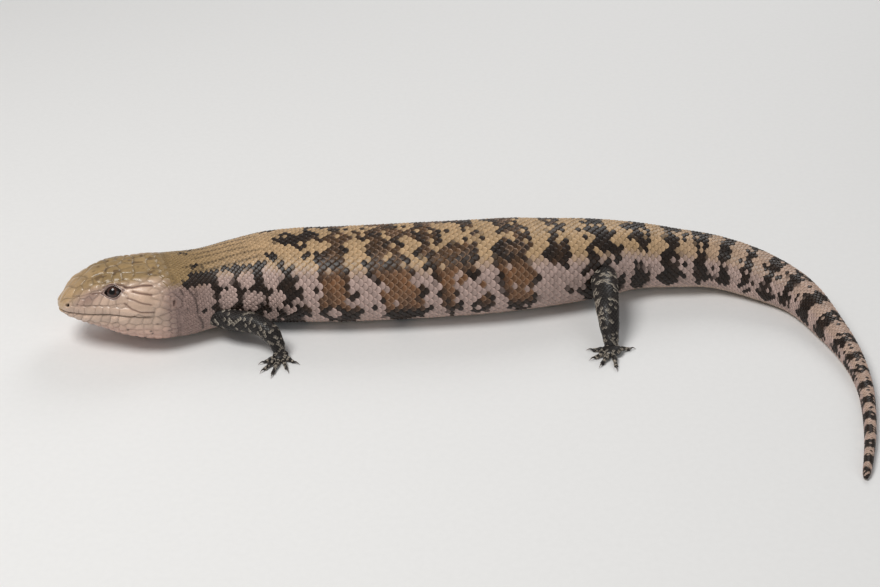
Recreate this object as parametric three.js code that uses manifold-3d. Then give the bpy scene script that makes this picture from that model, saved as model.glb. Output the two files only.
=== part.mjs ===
// Blue tongued skink, life size, lying still with its tail swung round to one side.
// Millimetres, +Z up, the floor at Z = 0. The head points to -X and the animal's left side faces -Y.
// The body is one long loft about a bent spine, parted into head, jaw, neck, trunk and tail lengths.
// Each limb is a tapered tube from the trunk to the foot, and every toe carries its own claw.
import * as THREE from "three";
import { mergeVertices } from "three/addons/utils/BufferGeometryUtils.js";
import Module from "manifold-3d";

const wasm = await Module();
wasm.setup();
const { Manifold } = wasm;

// Driving dimensions
const LENGTH = 538; // snout to tail tip along the spine
const GAP = 0.3; // clearance between touching pieces
const FLOOR = 0;
const FINISH = 0.035; // how far a facet may stand off the true surface when facets are merged
const ORIGIN = { x: 8.427, y: -43.235 }; // centre of the animal's box in the layout below

// The spine and the outline: distance from the snout, place on the floor,
// half width, height of the back and height of the belly.
const STATIONS = [
  { s: 0, x: -191.5, y: -40, half: 10, top: 24, bottom: 16.5 },
  { s: 5, x: -186.5, y: -40, half: 11, top: 29.5, bottom: 16 },
  { s: 12, x: -179.5, y: -39.5, half: 14, top: 34.5, bottom: 13.5 },
  { s: 20, x: -171.5, y: -39, half: 17, top: 38.5, bottom: 11 },
  { s: 29, x: -163, y: -38, half: 20, top: 40, bottom: 8 },
  { s: 38, x: -154, y: -37, half: 22.5, top: 40, bottom: 5.5 },
  { s: 47, x: -145, y: -35, half: 24, top: 40, bottom: 3 },
  { s: 60, x: -132, y: -30.5, half: 22.5, top: 39, bottom: 1 },
  { s: 74, x: -118.5, y: -25.5, half: 21.5, top: 39, bottom: 1 },
  { s: 90, x: -103, y: -20, half: 23.5, top: 40.5, bottom: 0.5 },
  { s: 110, x: -83.5, y: -15, half: 26.5, top: 42, bottom: -0.2 },
  { s: 150, x: -44, y: -12.5, half: 28, top: 42.5, bottom: -0.5 },
  { s: 210, x: 15.5, y: -6.5, half: 28, top: 42.5, bottom: -0.5 },
  { s: 235, x: 40, y: -2.5, half: 27, top: 42, bottom: -0.4 },
  { s: 257, x: 61, y: 1.5, half: 25, top: 40, bottom: -0.2 },
  { s: 278, x: 81.5, y: 6, half: 22, top: 38, bottom: 0.4 },
  { s: 300, x: 103, y: 10, half: 18, top: 34.5, bottom: 1.6 },
  { s: 321, x: 124, y: 9.5, half: 15.5, top: 31.5, bottom: 2.4 },
  { s: 343, x: 145.5, y: 8, half: 13, top: 28.5, bottom: 1.8 },
  { s: 367, x: 168, y: -1.5, half: 12, top: 24.5, bottom: 0.4 },
  { s: 391, x: 186, y: -17, half: 9.5, top: 19.5, bottom: -0.2 },
  { s: 422, x: 197.5, y: -44.5, half: 7, top: 13.5, bottom: -0.3 },
  { s: 446, x: 203, y: -68, half: 5, top: 10.5, bottom: -0.3 },
  { s: 471, x: 204, y: -93, half: 3.6, top: 7.5, bottom: -0.3 },
  { s: 501, x: 199.5, y: -122.5, half: 2.7, top: 5.5, bottom: -0.2 },
  { s: 523, x: 194, y: -144, half: 2.1, top: 4.5, bottom: -0.2 },
  { s: 538, x: 189.5, y: -158, half: 1.8, top: 3.5, bottom: -0.2 },
];
const SNOUT = { cap: 7.5, height: 22 }; // length of the rounded nose and the height of its tip
const TAIL_TIP = { cap: 9, height: 1.2 };

// Where the long body is parted, as distances from the snout
const PARTS = [
  { name: "neck", from: 62, to: 86, rings: 8, sides: 32 },
  { name: "torso_front", from: 86, to: 186, rings: 22, sides: 32 },
  { name: "torso_rear", from: 186, to: 293, rings: 24, sides: 32 },
  { name: "tail_1", from: 293, to: 347, rings: 11, sides: 26 },
  { name: "tail_2", from: 347, to: 400, rings: 13, sides: 24 },
  { name: "tail_3", from: 400, to: 457, rings: 15, sides: 20 },
  { name: "tail_4", from: 457, to: 538, rings: 18, sides: 16 },
];
const HEAD = { to: 62, rings: 30, sides: 40 };

// The face, as distances from the snout and heights above the floor
const MOUTH = [
  { s: -4, z: 20.2 },
  { s: 5, z: 20.9 },
  { s: 17, z: 22.2 },
  { s: 26, z: 23.5 },
  { s: 34, z: 23.7 },
  { s: 44, z: 22.9 },
];
const JAW_HINGE = { s: 52, z: -3 }; // the jaw parts from the throat on this slant
const EYE = { s: 30, z: 34.6, radius: 4.7, opening: 4.0, aspect: 0.68, sunk: 3.9, lid: 0.75 };
const NOSTRIL = { s: 6.6, z: 25.2, radius: 0.9, depth: 2.2 };
const EAR = { s: 54, z: 27.8, along: 1.8, up: 2.8, depth: 2.4 };

// Each limb: root, joints and foot as distance along the spine from its station,
// distance out from the spine, and height, with the tube's radius at each.
const FORELEG = {
  name: "foreleg",
  station: 86,
  path: [
    { along: -15, out: 14, z: 13.6, r: 5.6 },
    { along: -7, out: 23.5, z: 13.4, r: 5.2 },
    { along: 4.2, out: 32, z: 13.8, r: 5.0 },
    { along: 10.2, out: 39, z: 11.4, r: 4.7 },
    { along: 12.6, out: 43, z: 6.8, r: 3.7 },
    { along: 13.2, out: 45.4, z: 2.8, r: 2.9 },
  ],
  joints: [2, 4],
  palm: { along: 13.2, out: 47.2, long: 4.1, wide: 4.3, thick: 2.4 },
  toeRadius: 1.1,
  toes: [
    { along: 5.2, out: 48.2 },
    { along: 3.5, out: 54.0 },
    { along: 6.4, out: 58.8 },
    { along: 13.6, out: 57.2 },
    { along: 18.2, out: 52.6 },
  ],
};
const HINDLEG = {
  name: "hindleg",
  station: 281,
  path: [
    { along: -3.0, out: 8, z: 18.5, r: 7.8 },
    { along: -5.8, out: 26, z: 19.0, r: 6.7 },
    { along: -9.6, out: 43.5, z: 16.3, r: 5.8 },
    { along: -10.6, out: 51, z: 11.0, r: 5.0 },
    { along: -11.3, out: 57, z: 5.6, r: 3.9 },
    { along: -11.8, out: 60.2, z: 2.9, r: 3.1 },
  ],
  joints: [2, 4],
  palm: { along: -12.0, out: 62.2, long: 4.9, wide: 5.1, thick: 2.5 },
  toeRadius: 1.2,
  toes: [
    { along: -20.4, out: 58.6 },
    { along: -21.4, out: 65.0 },
    { along: -19.6, out: 70.6 },
    { along: -13.8, out: 74.6 },
    { along: -3.0, out: 61.4 },
  ],
};
// The far limbs lie closer in, one a step forward and the other lower and swept back
const NEAR = { step: 0, tuck: 1, squat: 1 };
const FAR = {
  foreleg: { step: -8, tuck: 0.94, squat: 1 },
  hindleg: { step: 22, tuck: 0.7705, squat: 0.84 },
};
const CLAW = { length: 3.6, base: 0.85 };
const TOE_SIDES = 7;
const LIMB_SIDES = 14;

const MATERIALS = {
  skin_pale: { color: 0xc9a877, roughness: 0.45 },
  skin_banded: { color: 0x8a7050, roughness: 0.42 },
  skin_leg: { color: 0x1d1b1a, roughness: 0.4 },
  eye: { color: 0x2a140c, roughness: 0.08 },
  claw: { color: 0x2b2522, roughness: 0.35 },
};

// A smooth value through the rows of a table, by cubic pieces that share their slopes
function smooth(rows, key, at) {
  const last = rows.length - 1;
  let i = 0;
  while (i < last - 1 && at > rows[i + 1].s) i++;
  const slope = (k) => {
    const a = rows[Math.max(0, k - 1)];
    const b = rows[Math.min(last, k + 1)];
    return (b[key] - a[key]) / (b.s - a.s);
  };
  const span = rows[i + 1].s - rows[i].s;
  const t = (at - rows[i].s) / span;
  const t2 = t * t;
  const t3 = t2 * t;
  return (
    (2 * t3 - 3 * t2 + 1) * rows[i][key] +
    (t3 - 2 * t2 + t) * span * slope(i) +
    (3 * t2 - 2 * t3) * rows[i + 1][key] +
    (t3 - t2) * span * slope(i + 1)
  );
}

// Position, direction and left-hand side of the spine at a distance from the snout
function spineAt(s) {
  const step = 0.5;
  const place = (at) =>
    new THREE.Vector3(smooth(STATIONS, "x", at), smooth(STATIONS, "y", at), 0);
  const here = place(s);
  const ahead = place(s + step).sub(place(s - step)).normalize();
  const left = new THREE.Vector3(ahead.y, -ahead.x, 0);
  return { here, ahead, left };
}

// A share from 0 to 1 that rounds off an end of the body like an ellipse
function roundEnd(distance, cap) {
  const t = THREE.MathUtils.clamp(distance / cap, 0, 1);
  return Math.sqrt(1 - (1 - t) * (1 - t));
}

const bump = (value, centre, width) => Math.exp(-(((value - centre) / width) ** 2));
const blend = THREE.MathUtils.smoothstep;

// Outward swelling of the head's skin, in millimetres: brows, snout hollow, lips, jaw muscle
function headRelief(s, z) {
  const mouth = smooth(MOUTH, "z", Math.min(s, 44));
  const lips = 1 - blend(s, 40, 49);
  const brow = 1.2 * bump(s, 30, 9) * bump(z, 38.4, 1.8);
  const socket = -0.9 * bump(s, 30, 6.5) * bump(z, 34, 3.2);
  const hollow = -1.1 * bump(s, 17, 5.5) * bump(z, 30.5, 4);
  const upperLip = 0.8 * lips * bump(z, mouth + 2.8, 2.6);
  const lowerLip = 0.5 * lips * bump(z, mouth - 2.2, 2.0);
  const line = -1.0 * lips * bump(z, mouth, 0.7);
  const cheek = 0.9 * bump(s, 44, 9) * bump(z, 29, 6);
  return brow + socket + hollow + upperLip + lowerLip + line + cheek;
}

// A point of the body's surface. Turn runs from 0 at the back, over the left side, to PI at the belly.
function bodyPoint(s, turn, grow = 0) {
  const { here, left } = spineAt(s);
  const cap = roundEnd(s, SNOUT.cap) * roundEnd(LENGTH - s, TAIL_TIP.cap);
  const tip = s < LENGTH / 2 ? SNOUT.height : TAIL_TIP.height;
  const isHead = 1 - blend(s, 46, 76);
  const half = smooth(STATIONS, "half", s) * cap;
  const top = tip + (smooth(STATIONS, "top", s) - tip) * cap;
  const bottom = tip + (smooth(STATIONS, "bottom", s) - tip) * cap;
  const widest = bottom + (top - bottom) * (0.47 - 0.06 * isHead);
  const upper = 2.15 + 0.5 * isHead;
  const lower = 2.35 + 0.35 * isHead;
  const power = Math.cos(turn) > 0 ? 2 / upper : 2 / lower;
  const across = Math.sign(Math.sin(turn)) * Math.abs(Math.sin(turn)) ** power;
  const rise = Math.sign(Math.cos(turn)) * Math.abs(Math.cos(turn)) ** power;
  const reach = rise > 0 ? top - widest : widest - bottom;
  const z = widest + rise * reach;
  const relief = isHead > 0.01 ? headRelief(s, z) * isHead * blend(s, 2, 9) : 0;
  const out = across * (half + grow + relief * Math.abs(across));
  return new THREE.Vector3(
    here.x + left.x * out,
    here.y + left.y * out,
    Math.max(z + rise * grow, FLOOR - (grow > 0 ? 4 : 0)),
  );
}

// A closed mesh from rings of points, with a flat or pointed end at each side
function loft(rings) {
  const sides = rings[0].length;
  const points = rings.flat();
  const index = [];
  for (let k = 0; k + 1 < rings.length; k++) {
    for (let i = 0; i < sides; i++) {
      const j = (i + 1) % sides;
      const a = k * sides + i;
      const b = k * sides + j;
      index.push(a, b, a + sides, b, b + sides, a + sides);
    }
  }
  const middle = (ring) =>
    ring.reduce((sum, p) => sum.add(p), new THREE.Vector3()).divideScalar(sides);
  points.push(middle(rings[0]), middle(rings[rings.length - 1]));
  const first = points.length - 2;
  const last = points.length - 1;
  const end = (rings.length - 1) * sides;
  for (let i = 0; i < sides; i++) {
    const j = (i + 1) % sides;
    index.push(first, j, i);
    index.push(last, end + i, end + j);
  }
  return new THREE.BufferGeometry().setFromPoints(points).setIndex(index);
}

// A geometry as a solid that can be joined and cut, turned to face out
function solid(geometry) {
  const bare = geometry.clone();
  for (const name of Object.keys(bare.attributes)) {
    if (name !== "position") bare.deleteAttribute(name);
  }
  const merged = mergeVertices(bare, 1e-4);
  const make = (triVerts) =>
    new Manifold(
      new wasm.Mesh({
        numProp: 3,
        vertProperties: new Float32Array(merged.attributes.position.array),
        triVerts,
      }),
    );
  const index = new Uint32Array(merged.index.array);
  const made = make(index);
  return made.volume() > 0 ? made : make(index.reverse());
}

// A solid's largest closed piece as a geometry
function geometryOf(shape) {
  const largest = shape.decompose().sort((a, b) => b.volume() - a.volume())[0];
  const mesh = largest.getMesh();
  return new THREE.BufferGeometry()
    .setAttribute("position", new THREE.BufferAttribute(mesh.vertProperties, 3))
    .setIndex(new THREE.BufferAttribute(mesh.triVerts, 1));
}

const skink = new THREE.Group();
skink.name = "blue_tongued_skink";
skink.position.set(-ORIGIN.x, -ORIGIN.y, 0);

function addNode(name, shape, material) {
  const geometry = geometryOf(shape.simplify(FINISH));
  geometry.computeVertexNormals();
  const mesh = new THREE.Mesh(geometry, new THREE.MeshStandardMaterial(MATERIALS[material]));
  mesh.name = name;
  skink.add(mesh);
}

// The body between two distances. Rings crowd towards a rounded end, and share is where each stands.
function bodyLength(from, to, rings, sides, grow = 0, share = (t) => t) {
  const made = [];
  for (let k = 0; k <= rings; k++) {
    const s = from + (to - from) * share(k / rings);
    const ring = [];
    for (let i = 0; i < sides; i++) {
      ring.push(bodyPoint(s, (2 * Math.PI * i) / sides, grow));
    }
    made.push(ring);
  }
  return solid(loft(made));
}

// Everything above the floor, to trim what dips below it
const aboveFloor = solid(new THREE.BoxGeometry(800, 800, 200).translate(0, 0, FLOOR + 100));

// A place on the head's surface, with its outward direction, for the eye, nostril and ear
function facePlace(s, z, side) {
  let low = 0.02;
  let high = Math.PI - 0.02;
  for (let n = 0; n < 40; n++) {
    const turn = (low + high) / 2;
    if (bodyPoint(s, turn).z > z) low = turn;
    else high = turn;
  }
  const turn = side * low;
  const at = bodyPoint(s, turn);
  const alongWay = bodyPoint(s + 1.5, turn).sub(bodyPoint(s - 1.5, turn));
  const roundWay = bodyPoint(s, turn + 0.1).sub(bodyPoint(s, turn - 0.1));
  const out = alongWay.clone().cross(roundWay).normalize();
  if (out.dot(spineAt(s).left) * side < 0) out.negate();
  return { at, out, alongWay: alongWay.normalize() };
}

// A matrix that lays a shape's X along the head, its Y upwards and its Z out of the skin
function faceFrame(place, sunk) {
  const up = place.out.clone().cross(place.alongWay).normalize();
  if (up.z < 0) up.negate();
  const along = up.clone().cross(place.out).normalize();
  const at = place.at.clone().addScaledVector(place.out, -sunk);
  return new THREE.Matrix4().makeBasis(along, up, place.out).setPosition(at);
}

const ball = (radius, across, down) => new THREE.SphereGeometry(radius, across, down);

// An eye opening: a pointed oval prism along Z
function almond(half, aspect, depth) {
  const shape = new THREE.Shape();
  const corner = half * 1.22;
  shape.moveTo(-corner, 0);
  shape.bezierCurveTo(-half * 0.7, half * aspect * 1.3, half * 0.7, half * aspect * 1.3, corner, 0);
  shape.bezierCurveTo(half * 0.7, -half * aspect * 1.3, -half * 0.7, -half * aspect * 1.3, -corner, 0);
  return new THREE.ExtrudeGeometry(shape, { depth, bevelEnabled: false, curveSegments: 9 });
}

function buildHead() {
  const crowd = (t) => 0.35 * t * t + 0.65 * t;
  let head = bodyLength(0.02, HEAD.to - GAP / 2, HEAD.rings, HEAD.sides, 0, crowd);

  for (const [side, label] of [
    [1, "left"],
    [-1, "right"],
  ]) {
    const frame = faceFrame(facePlace(EYE.s, EYE.z, side), EYE.sunk);
    const place = (geometry) => solid(geometry.applyMatrix4(frame));
    const lids = place(ball(EYE.radius + GAP + EYE.lid, 18, 12));
    const socket = place(ball(EYE.radius + GAP, 18, 12));
    const opening = place(almond(EYE.opening, EYE.aspect, 12));
    head = head.add(lids).subtract(socket).subtract(opening);
    addNode("eye_" + label, place(ball(EYE.radius, 18, 12)), "eye");

    const nose = faceFrame(facePlace(NOSTRIL.s, NOSTRIL.z, side), NOSTRIL.depth);
    const bore = new THREE.CylinderGeometry(NOSTRIL.radius, NOSTRIL.radius * 0.7, 2 * NOSTRIL.depth, 12)
      .rotateX(Math.PI / 2)
      .translate(0, 0, NOSTRIL.depth);
    head = head.subtract(solid(bore.applyMatrix4(nose)));

    const earFrame = faceFrame(facePlace(EAR.s, EAR.z, side), 0);
    const cup = ball(1, 16, 12).scale(EAR.along, EAR.up, EAR.depth);
    head = head.subtract(solid(cup.applyMatrix4(earFrame)));
  }

  // The mouth: a thin blade across the head, turned down behind the corner to free the jaw
  const line = MOUTH.map((p) => new THREE.Vector2(p.s, p.z));
  const corner = line[line.length - 1];
  const blade = new THREE.Shape();
  blade.moveTo(line[0].x, line[0].y + GAP / 2);
  const lip = (side) =>
    Array.from({ length: 25 }, (_, k) => {
      const s = MOUTH[0].s + ((corner.x - MOUTH[0].s) * k) / 24;
      return new THREE.Vector2(s, smooth(MOUTH, "z", s) + (side * GAP) / 2);
    });
  for (const p of lip(1)) blade.lineTo(p.x, p.y);
  blade.lineTo(corner.x + GAP, corner.y);
  blade.lineTo(JAW_HINGE.s + GAP, JAW_HINGE.z);
  blade.lineTo(JAW_HINGE.s, JAW_HINGE.z);
  for (const p of lip(-1).reverse()) blade.lineTo(p.x, p.y);
  const across = new THREE.ExtrudeGeometry(blade, { depth: 80, bevelEnabled: false });
  const { here } = spineAt(0);
  const middle = spineAt(30).ahead;
  const upright = new THREE.Vector3(0, 0, 1);
  const sideways = middle.clone().cross(upright);
  across.translate(0, 0, -40);
  across.applyMatrix4(new THREE.Matrix4().makeBasis(middle, upright, sideways).setPosition(here));
  const pieces = head
    .subtract(solid(across))
    .decompose()
    .sort((a, b) => b.volume() - a.volume());
  addNode("head", pieces[0], "skin_pale");
  addNode("jaw", pieces[1], "skin_pale");
}

const stance = (limb, side) => (side < 0 ? FAR[limb.name] : NEAR);

// A limb's place in the layout, from its distances along and out from a spine station
function limbPoint(limb, side, p, z) {
  const { here, ahead, left } = spineAt(limb.station);
  const { step, tuck } = stance(limb, side);
  return here
    .clone()
    .addScaledVector(ahead, p.along + step * blend(p.out, 15, 55))
    .addScaledVector(left, side * (p.out > 15 ? 15 + (p.out - 15) * tuck : p.out))
    .setZ(z);
}

// A round tube along a curve, from one share of its length to another
function tube(curve, radiusAt, from, to, steps, sides) {
  const frames = curve.computeFrenetFrames(60, false);
  const rings = [];
  for (let k = 0; k <= steps; k++) {
    const t = from + ((to - from) * k) / steps;
    const centre = curve.getPoint(t);
    const n = frames.normals[Math.round(t * 60)];
    const direction = curve.getTangent(t);
    const across = n.clone().addScaledVector(direction, -n.dot(direction)).normalize();
    const other = direction.clone().cross(across);
    const ring = [];
    for (let i = 0; i < sides; i++) {
      const a = (2 * Math.PI * i) / sides;
      ring.push(
        centre
          .clone()
          .addScaledVector(across, Math.cos(a) * radiusAt(t))
          .addScaledVector(other, Math.sin(a) * radiusAt(t)),
      );
    }
    rings.push(ring);
  }
  return solid(loft(rings));
}

const trunkGrown = bodyLength(60, 330, 60, 32, GAP);

function buildLimb(limb, side) {
  const label = limb.name + (side > 0 ? "_left" : "_right");
  const knots = limb.path.length - 1;
  const { squat } = stance(limb, side);
  const knuckles = limb.path.map((p) => limbPoint(limb, side, p, p.z * squat));
  const curve = new THREE.CatmullRomCurve3(knuckles);
  const radiusAt = (t) => {
    const k = Math.min(knots - 1, Math.floor(t * knots));
    return THREE.MathUtils.lerp(limb.path[k].r, limb.path[k + 1].r, blend(t * knots - k, 0, 1));
  };
  const grownAt = (t) => radiusAt(t) + GAP;
  const past = (t) => t + (GAP * 0.02) / curve.getPoint(t - 0.01).distanceTo(curve.getPoint(t + 0.01));
  const [elbow, wrist] = limb.joints.map((k) => k / knots);

  // Each length of the limb is cut back from the one before it by the clearance
  const upper = tube(curve, radiusAt, 0, elbow, 8, LIMB_SIDES).subtract(trunkGrown);
  const upperGrown = tube(curve, grownAt, 0, past(elbow), 8, LIMB_SIDES);
  const lower = tube(curve, radiusAt, elbow, wrist, 7, LIMB_SIDES).subtract(upperGrown);
  const lowerGrown = tube(curve, grownAt, elbow, past(wrist), 7, LIMB_SIDES);
  addNode(label + "_upper", upper, "skin_leg");
  addNode(label + "_lower", lower, "skin_leg");

  const palm = limb.palm;
  const middle = limbPoint(limb, side, palm, palm.thick - 0.25);
  const { ahead, left } = spineAt(limb.station);
  const lay = new THREE.Matrix4().makeBasis(ahead, left, new THREE.Vector3(0, 0, 1)).setPosition(middle);
  const pad = ball(1, 12, 6).rotateX(Math.PI / 2).scale(palm.long, palm.wide, palm.thick);
  let foot = tube(curve, radiusAt, wrist, 1, 4, LIMB_SIDES).add(solid(pad.applyMatrix4(lay)));

  limb.toes.forEach((toe, k) => {
    const low = limb.toeRadius - 0.25;
    const end = limbPoint(limb, side, toe, low);
    const reach = end.clone().sub(middle).setZ(0);
    const way = reach.clone().normalize();
    const start = middle.clone().addScaledVector(way, palm.long * 0.45).setZ(palm.thick * 0.8);
    const knuckle = start.clone().lerp(end, 0.5).setZ(limb.toeRadius + 0.7);
    const bone = new THREE.CatmullRomCurve3([start, knuckle, end]);
    const thick = (t) => limb.toeRadius * (1.15 - 0.42 * t + 0.1 * Math.cos(4 * Math.PI * t));
    foot = foot.add(tube(bone, thick, 0, 1, 5, TOE_SIDES));

    const tip = bone.getTangent(1);
    const root = bone.getPoint(1).addScaledVector(tip, GAP);
    const point = root.clone().addScaledVector(way, CLAW.length).setZ(FLOOR + 0.3);
    const bend = root.clone().addScaledVector(way, CLAW.length * 0.55).setZ(root.z + 0.35);
    const horn = new THREE.CatmullRomCurve3([root, bend, point]);
    const claw = tube(horn, (t) => CLAW.base * (1 - 0.86 * t), 0, 1, 4, 6);
    addNode(label + "_claw_" + (k + 1), claw.intersect(aboveFloor), "claw");
  });
  addNode(label + "_foot", foot.subtract(lowerGrown).intersect(aboveFloor), "skin_leg");
}

buildHead();
for (const part of PARTS) {
  const to = part.to === LENGTH ? LENGTH - 0.02 : part.to - GAP / 2;
  const made = bodyLength(part.from + GAP / 2, to, part.rings, part.sides);
  addNode(part.name, made, part.name === "neck" ? "skin_pale" : "skin_banded");
}
for (const limb of [FORELEG, HINDLEG]) {
  for (const side of [1, -1]) buildLimb(limb, side);
}

export default skink;
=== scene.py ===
# %% [markdown]
# # A blue tongued skink at rest
#
# The animal lies on a floor with its head raised a little, its legs spread and its
# tail swung round to its left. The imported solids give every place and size, and this
# script lays one skin over them, clothes it in scales and finishes the materials.
# Lengths are worked out in millimetres and turned into metres as each mesh is made.

import math

import bpy
import numpy as np
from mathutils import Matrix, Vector
from mathutils.kdtree import KDTree


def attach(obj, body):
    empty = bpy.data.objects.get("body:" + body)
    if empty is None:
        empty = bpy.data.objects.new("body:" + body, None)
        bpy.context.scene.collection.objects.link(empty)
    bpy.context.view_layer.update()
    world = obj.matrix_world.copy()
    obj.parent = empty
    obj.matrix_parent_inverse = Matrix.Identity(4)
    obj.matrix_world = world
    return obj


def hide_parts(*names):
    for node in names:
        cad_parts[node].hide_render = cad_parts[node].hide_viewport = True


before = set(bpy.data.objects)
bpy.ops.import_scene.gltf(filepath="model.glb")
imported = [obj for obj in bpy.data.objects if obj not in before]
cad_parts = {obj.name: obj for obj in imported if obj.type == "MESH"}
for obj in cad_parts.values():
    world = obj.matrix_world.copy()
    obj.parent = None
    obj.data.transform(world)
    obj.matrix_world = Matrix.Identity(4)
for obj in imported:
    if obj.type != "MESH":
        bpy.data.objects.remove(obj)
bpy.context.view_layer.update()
NODES = sorted(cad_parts)

# %% [markdown]
# ## The body's own measures
#
# A lizard's body is one long tube about a bent spine, so each row gives a place on the
# spine, the half width there and the heights of back and belly. The solids are built
# from the same rows. A smooth curve through them gives any place between.

# %% Spine and outline
MM = 0.001
ORIGIN = np.array([8.427, -43.235])
LENGTH = 538.0
STATIONS = np.array([
    # from snout, x, y, half width, back, belly
    (0, -191.5, -40, 10, 24, 16.5),
    (5, -186.5, -40, 11, 29.5, 16),
    (12, -179.5, -39.5, 14, 34.5, 13.5),
    (20, -171.5, -39, 17, 38.5, 11),
    (29, -163, -38, 20, 40, 8),
    (38, -154, -37, 22.5, 40, 5.5),
    (47, -145, -35, 24, 40, 3),
    (60, -132, -30.5, 22.5, 39, 1),
    (74, -118.5, -25.5, 21.5, 39, 1),
    (90, -103, -20, 23.5, 40.5, 0.5),
    (110, -83.5, -15, 26.5, 42, -0.2),
    (150, -44, -12.5, 28, 42.5, -0.5),
    (210, 15.5, -6.5, 28, 42.5, -0.5),
    (235, 40, -2.5, 27, 42, -0.4),
    (257, 61, 1.5, 25, 40, -0.2),
    (278, 81.5, 6, 22, 38, 0.4),
    (300, 103, 10, 18, 34.5, 1.6),
    (321, 124, 9.5, 15.5, 31.5, 2.4),
    (343, 145.5, 8, 13, 28.5, 1.8),
    (367, 168, -1.5, 12, 24.5, 0.4),
    (391, 186, -17, 9.5, 19.5, -0.2),
    (422, 197.5, -44.5, 7, 13.5, -0.3),
    (446, 203, -68, 5, 10.5, -0.3),
    (471, 204, -93, 3.6, 7.5, -0.3),
    (501, 199.5, -122.5, 2.7, 5.5, -0.2),
    (523, 194, -144, 2.1, 4.5, -0.2),
    (538, 189.5, -158, 1.8, 3.5, -0.2),
], float)
X, Y, HALF, BACK, BELLY = 1, 2, 3, 4, 5
SNOUT_CAP, SNOUT_HEIGHT = 7.5, 22.0
TAIL_CAP, TAIL_HEIGHT = 9.0, 1.2


def smooth(rows, column, at):
    """The value of a column through the rows, by cubic pieces that share their slopes."""
    at, s, v = np.asarray(at, float), rows[:, 0], rows[:, column]
    index = np.arange(len(s))
    before, after = np.maximum(index - 1, 0), np.minimum(index + 1, index[-1])
    slope = (v[after] - v[before]) / (s[after] - s[before])
    i = np.clip(np.searchsorted(s, at) - 1, 0, len(s) - 2)
    span = s[i + 1] - s[i]
    t = (at - s[i]) / span
    start = (2 * t**3 - 3 * t**2 + 1) * v[i] + (t**3 - 2 * t**2 + t) * span * slope[i]
    return start + (3 * t**2 - 2 * t**3) * v[i + 1] + (t**3 - t**2) * span * slope[i + 1]


def ramp(x, low, high):
    """Smooth step from 0 at low to 1 at high."""
    t = np.clip((np.asarray(x, float) - low) / (high - low), 0, 1)
    return t * t * (3 - 2 * t)


def fall(x, low, high):
    """Smooth step from 1 at low to 0 at high."""
    return 1 - ramp(x, low, high)


def bump(x, centre, width):
    return np.exp(-(((x - centre) / width) ** 2))


def unit(v):
    return v / np.maximum(np.linalg.norm(v, axis=-1, keepdims=True), 1e-9)


def round_end(distance, cap):
    t = np.clip(distance / cap, 0, 1)
    return np.sqrt(np.maximum(1 - (1 - t) ** 2, 0))


def spine(s):
    """Place and left-hand side of the spine at distances from the snout."""
    place, before, after = (
        np.stack([smooth(STATIONS, c, s + d) for c in (X, Y)], -1) for d in (0, -0.5, 0.5)
    )
    ahead = unit(after - before)
    return place - ORIGIN, np.stack([ahead[..., 1], -ahead[..., 0]], -1)


# %% [markdown]
# The face is not a plain tube. A brow stands over each eye, a hollow runs from the eye
# to the nostril, both lips are full beside the line of the mouth, and the jaw muscle
# swells behind it. These are all small pushes in or out of the same surface.

# %% The face's relief
MOUTH = np.array([(-4, 20.2), (5, 20.9), (17, 22.2), (26, 23.5), (34, 23.7), (44, 22.9)], float)
MOUTH_CORNER = 44.0


def mouth_height(s):
    return smooth(MOUTH, 1, np.minimum(s, MOUTH_CORNER))


def face_relief(s, z):
    mouth, lips = mouth_height(s), fall(s, 40, 49)
    brow = 1.2 * bump(s, 30, 9) * bump(z, 38.4, 1.8)
    socket = -0.9 * bump(s, 30, 6.5) * bump(z, 34, 3.2)
    hollow = -1.1 * bump(s, 17, 5.5) * bump(z, 30.5, 4)
    upper = 0.8 * lips * bump(z, mouth + 2.8, 2.6)
    lower = 0.5 * lips * bump(z, mouth - 2.2, 2.0)
    cheek = 0.9 * bump(s, 44, 9) * bump(z, 29, 6)
    return brow + socket + hollow + upper + lower + cheek


def section(s, turn):
    """Distance out from the spine's plane and height, for a turn from 0 at the back to pi below."""
    cap = round_end(s, SNOUT_CAP) * round_end(LENGTH - s, TAIL_CAP)
    tip = np.where(s < LENGTH / 2, SNOUT_HEIGHT, TAIL_HEIGHT)
    is_head = fall(s, 46, 76)
    half = smooth(STATIONS, HALF, s) * cap
    top = tip + (smooth(STATIONS, BACK, s) - tip) * cap
    bottom = tip + (smooth(STATIONS, BELLY, s) - tip) * cap
    widest = bottom + (top - bottom) * (0.47 - 0.06 * is_head)
    upper, lower = 2 / (2.15 + 0.5 * is_head), 2 / (2.35 + 0.35 * is_head)
    cosine, sine = np.cos(turn), np.sin(turn)
    power = np.where(cosine > 0, upper, lower)
    across = np.abs(sine) ** power
    rise = np.sign(cosine) * np.abs(cosine) ** power
    z = widest + rise * np.where(rise > 0, top - widest, widest - bottom)
    relief = face_relief(s, z) * is_head * ramp(s, 2, 9)
    return across * (half + relief * across), np.maximum(z, 0)


# %% [markdown]
# A table of the section at even steps along the spine and evenly round the skin finds any
# point from its distance from the snout and its distance from the line of the back.

# %% Table of the surface
STEP, ROUND = 0.5, 240
TABLE_S = np.concatenate([[0.0], np.arange(0.15, LENGTH, STEP)])
outs, heights = section(TABLE_S[:, None], np.linspace(0, np.pi, 721)[None, :])
steps = [np.diff(v, axis=1, prepend=v[:, :1]) for v in (outs, heights)]
runs = np.cumsum(np.hypot(*steps), axis=1)
GIRTH = runs[:, -1]
SHARES = np.linspace(0, 1, ROUND + 1)
TABLE_OUT, TABLE_Z = (
    np.array([np.interp(SHARES * g, r, v) for g, r, v in zip(GIRTH, runs, values)])
    for values in (outs, heights)
)


def girth(s):
    """Distance over the skin from the line of the back to the line of the belly."""
    return np.interp(s, TABLE_S, GIRTH)


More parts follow.
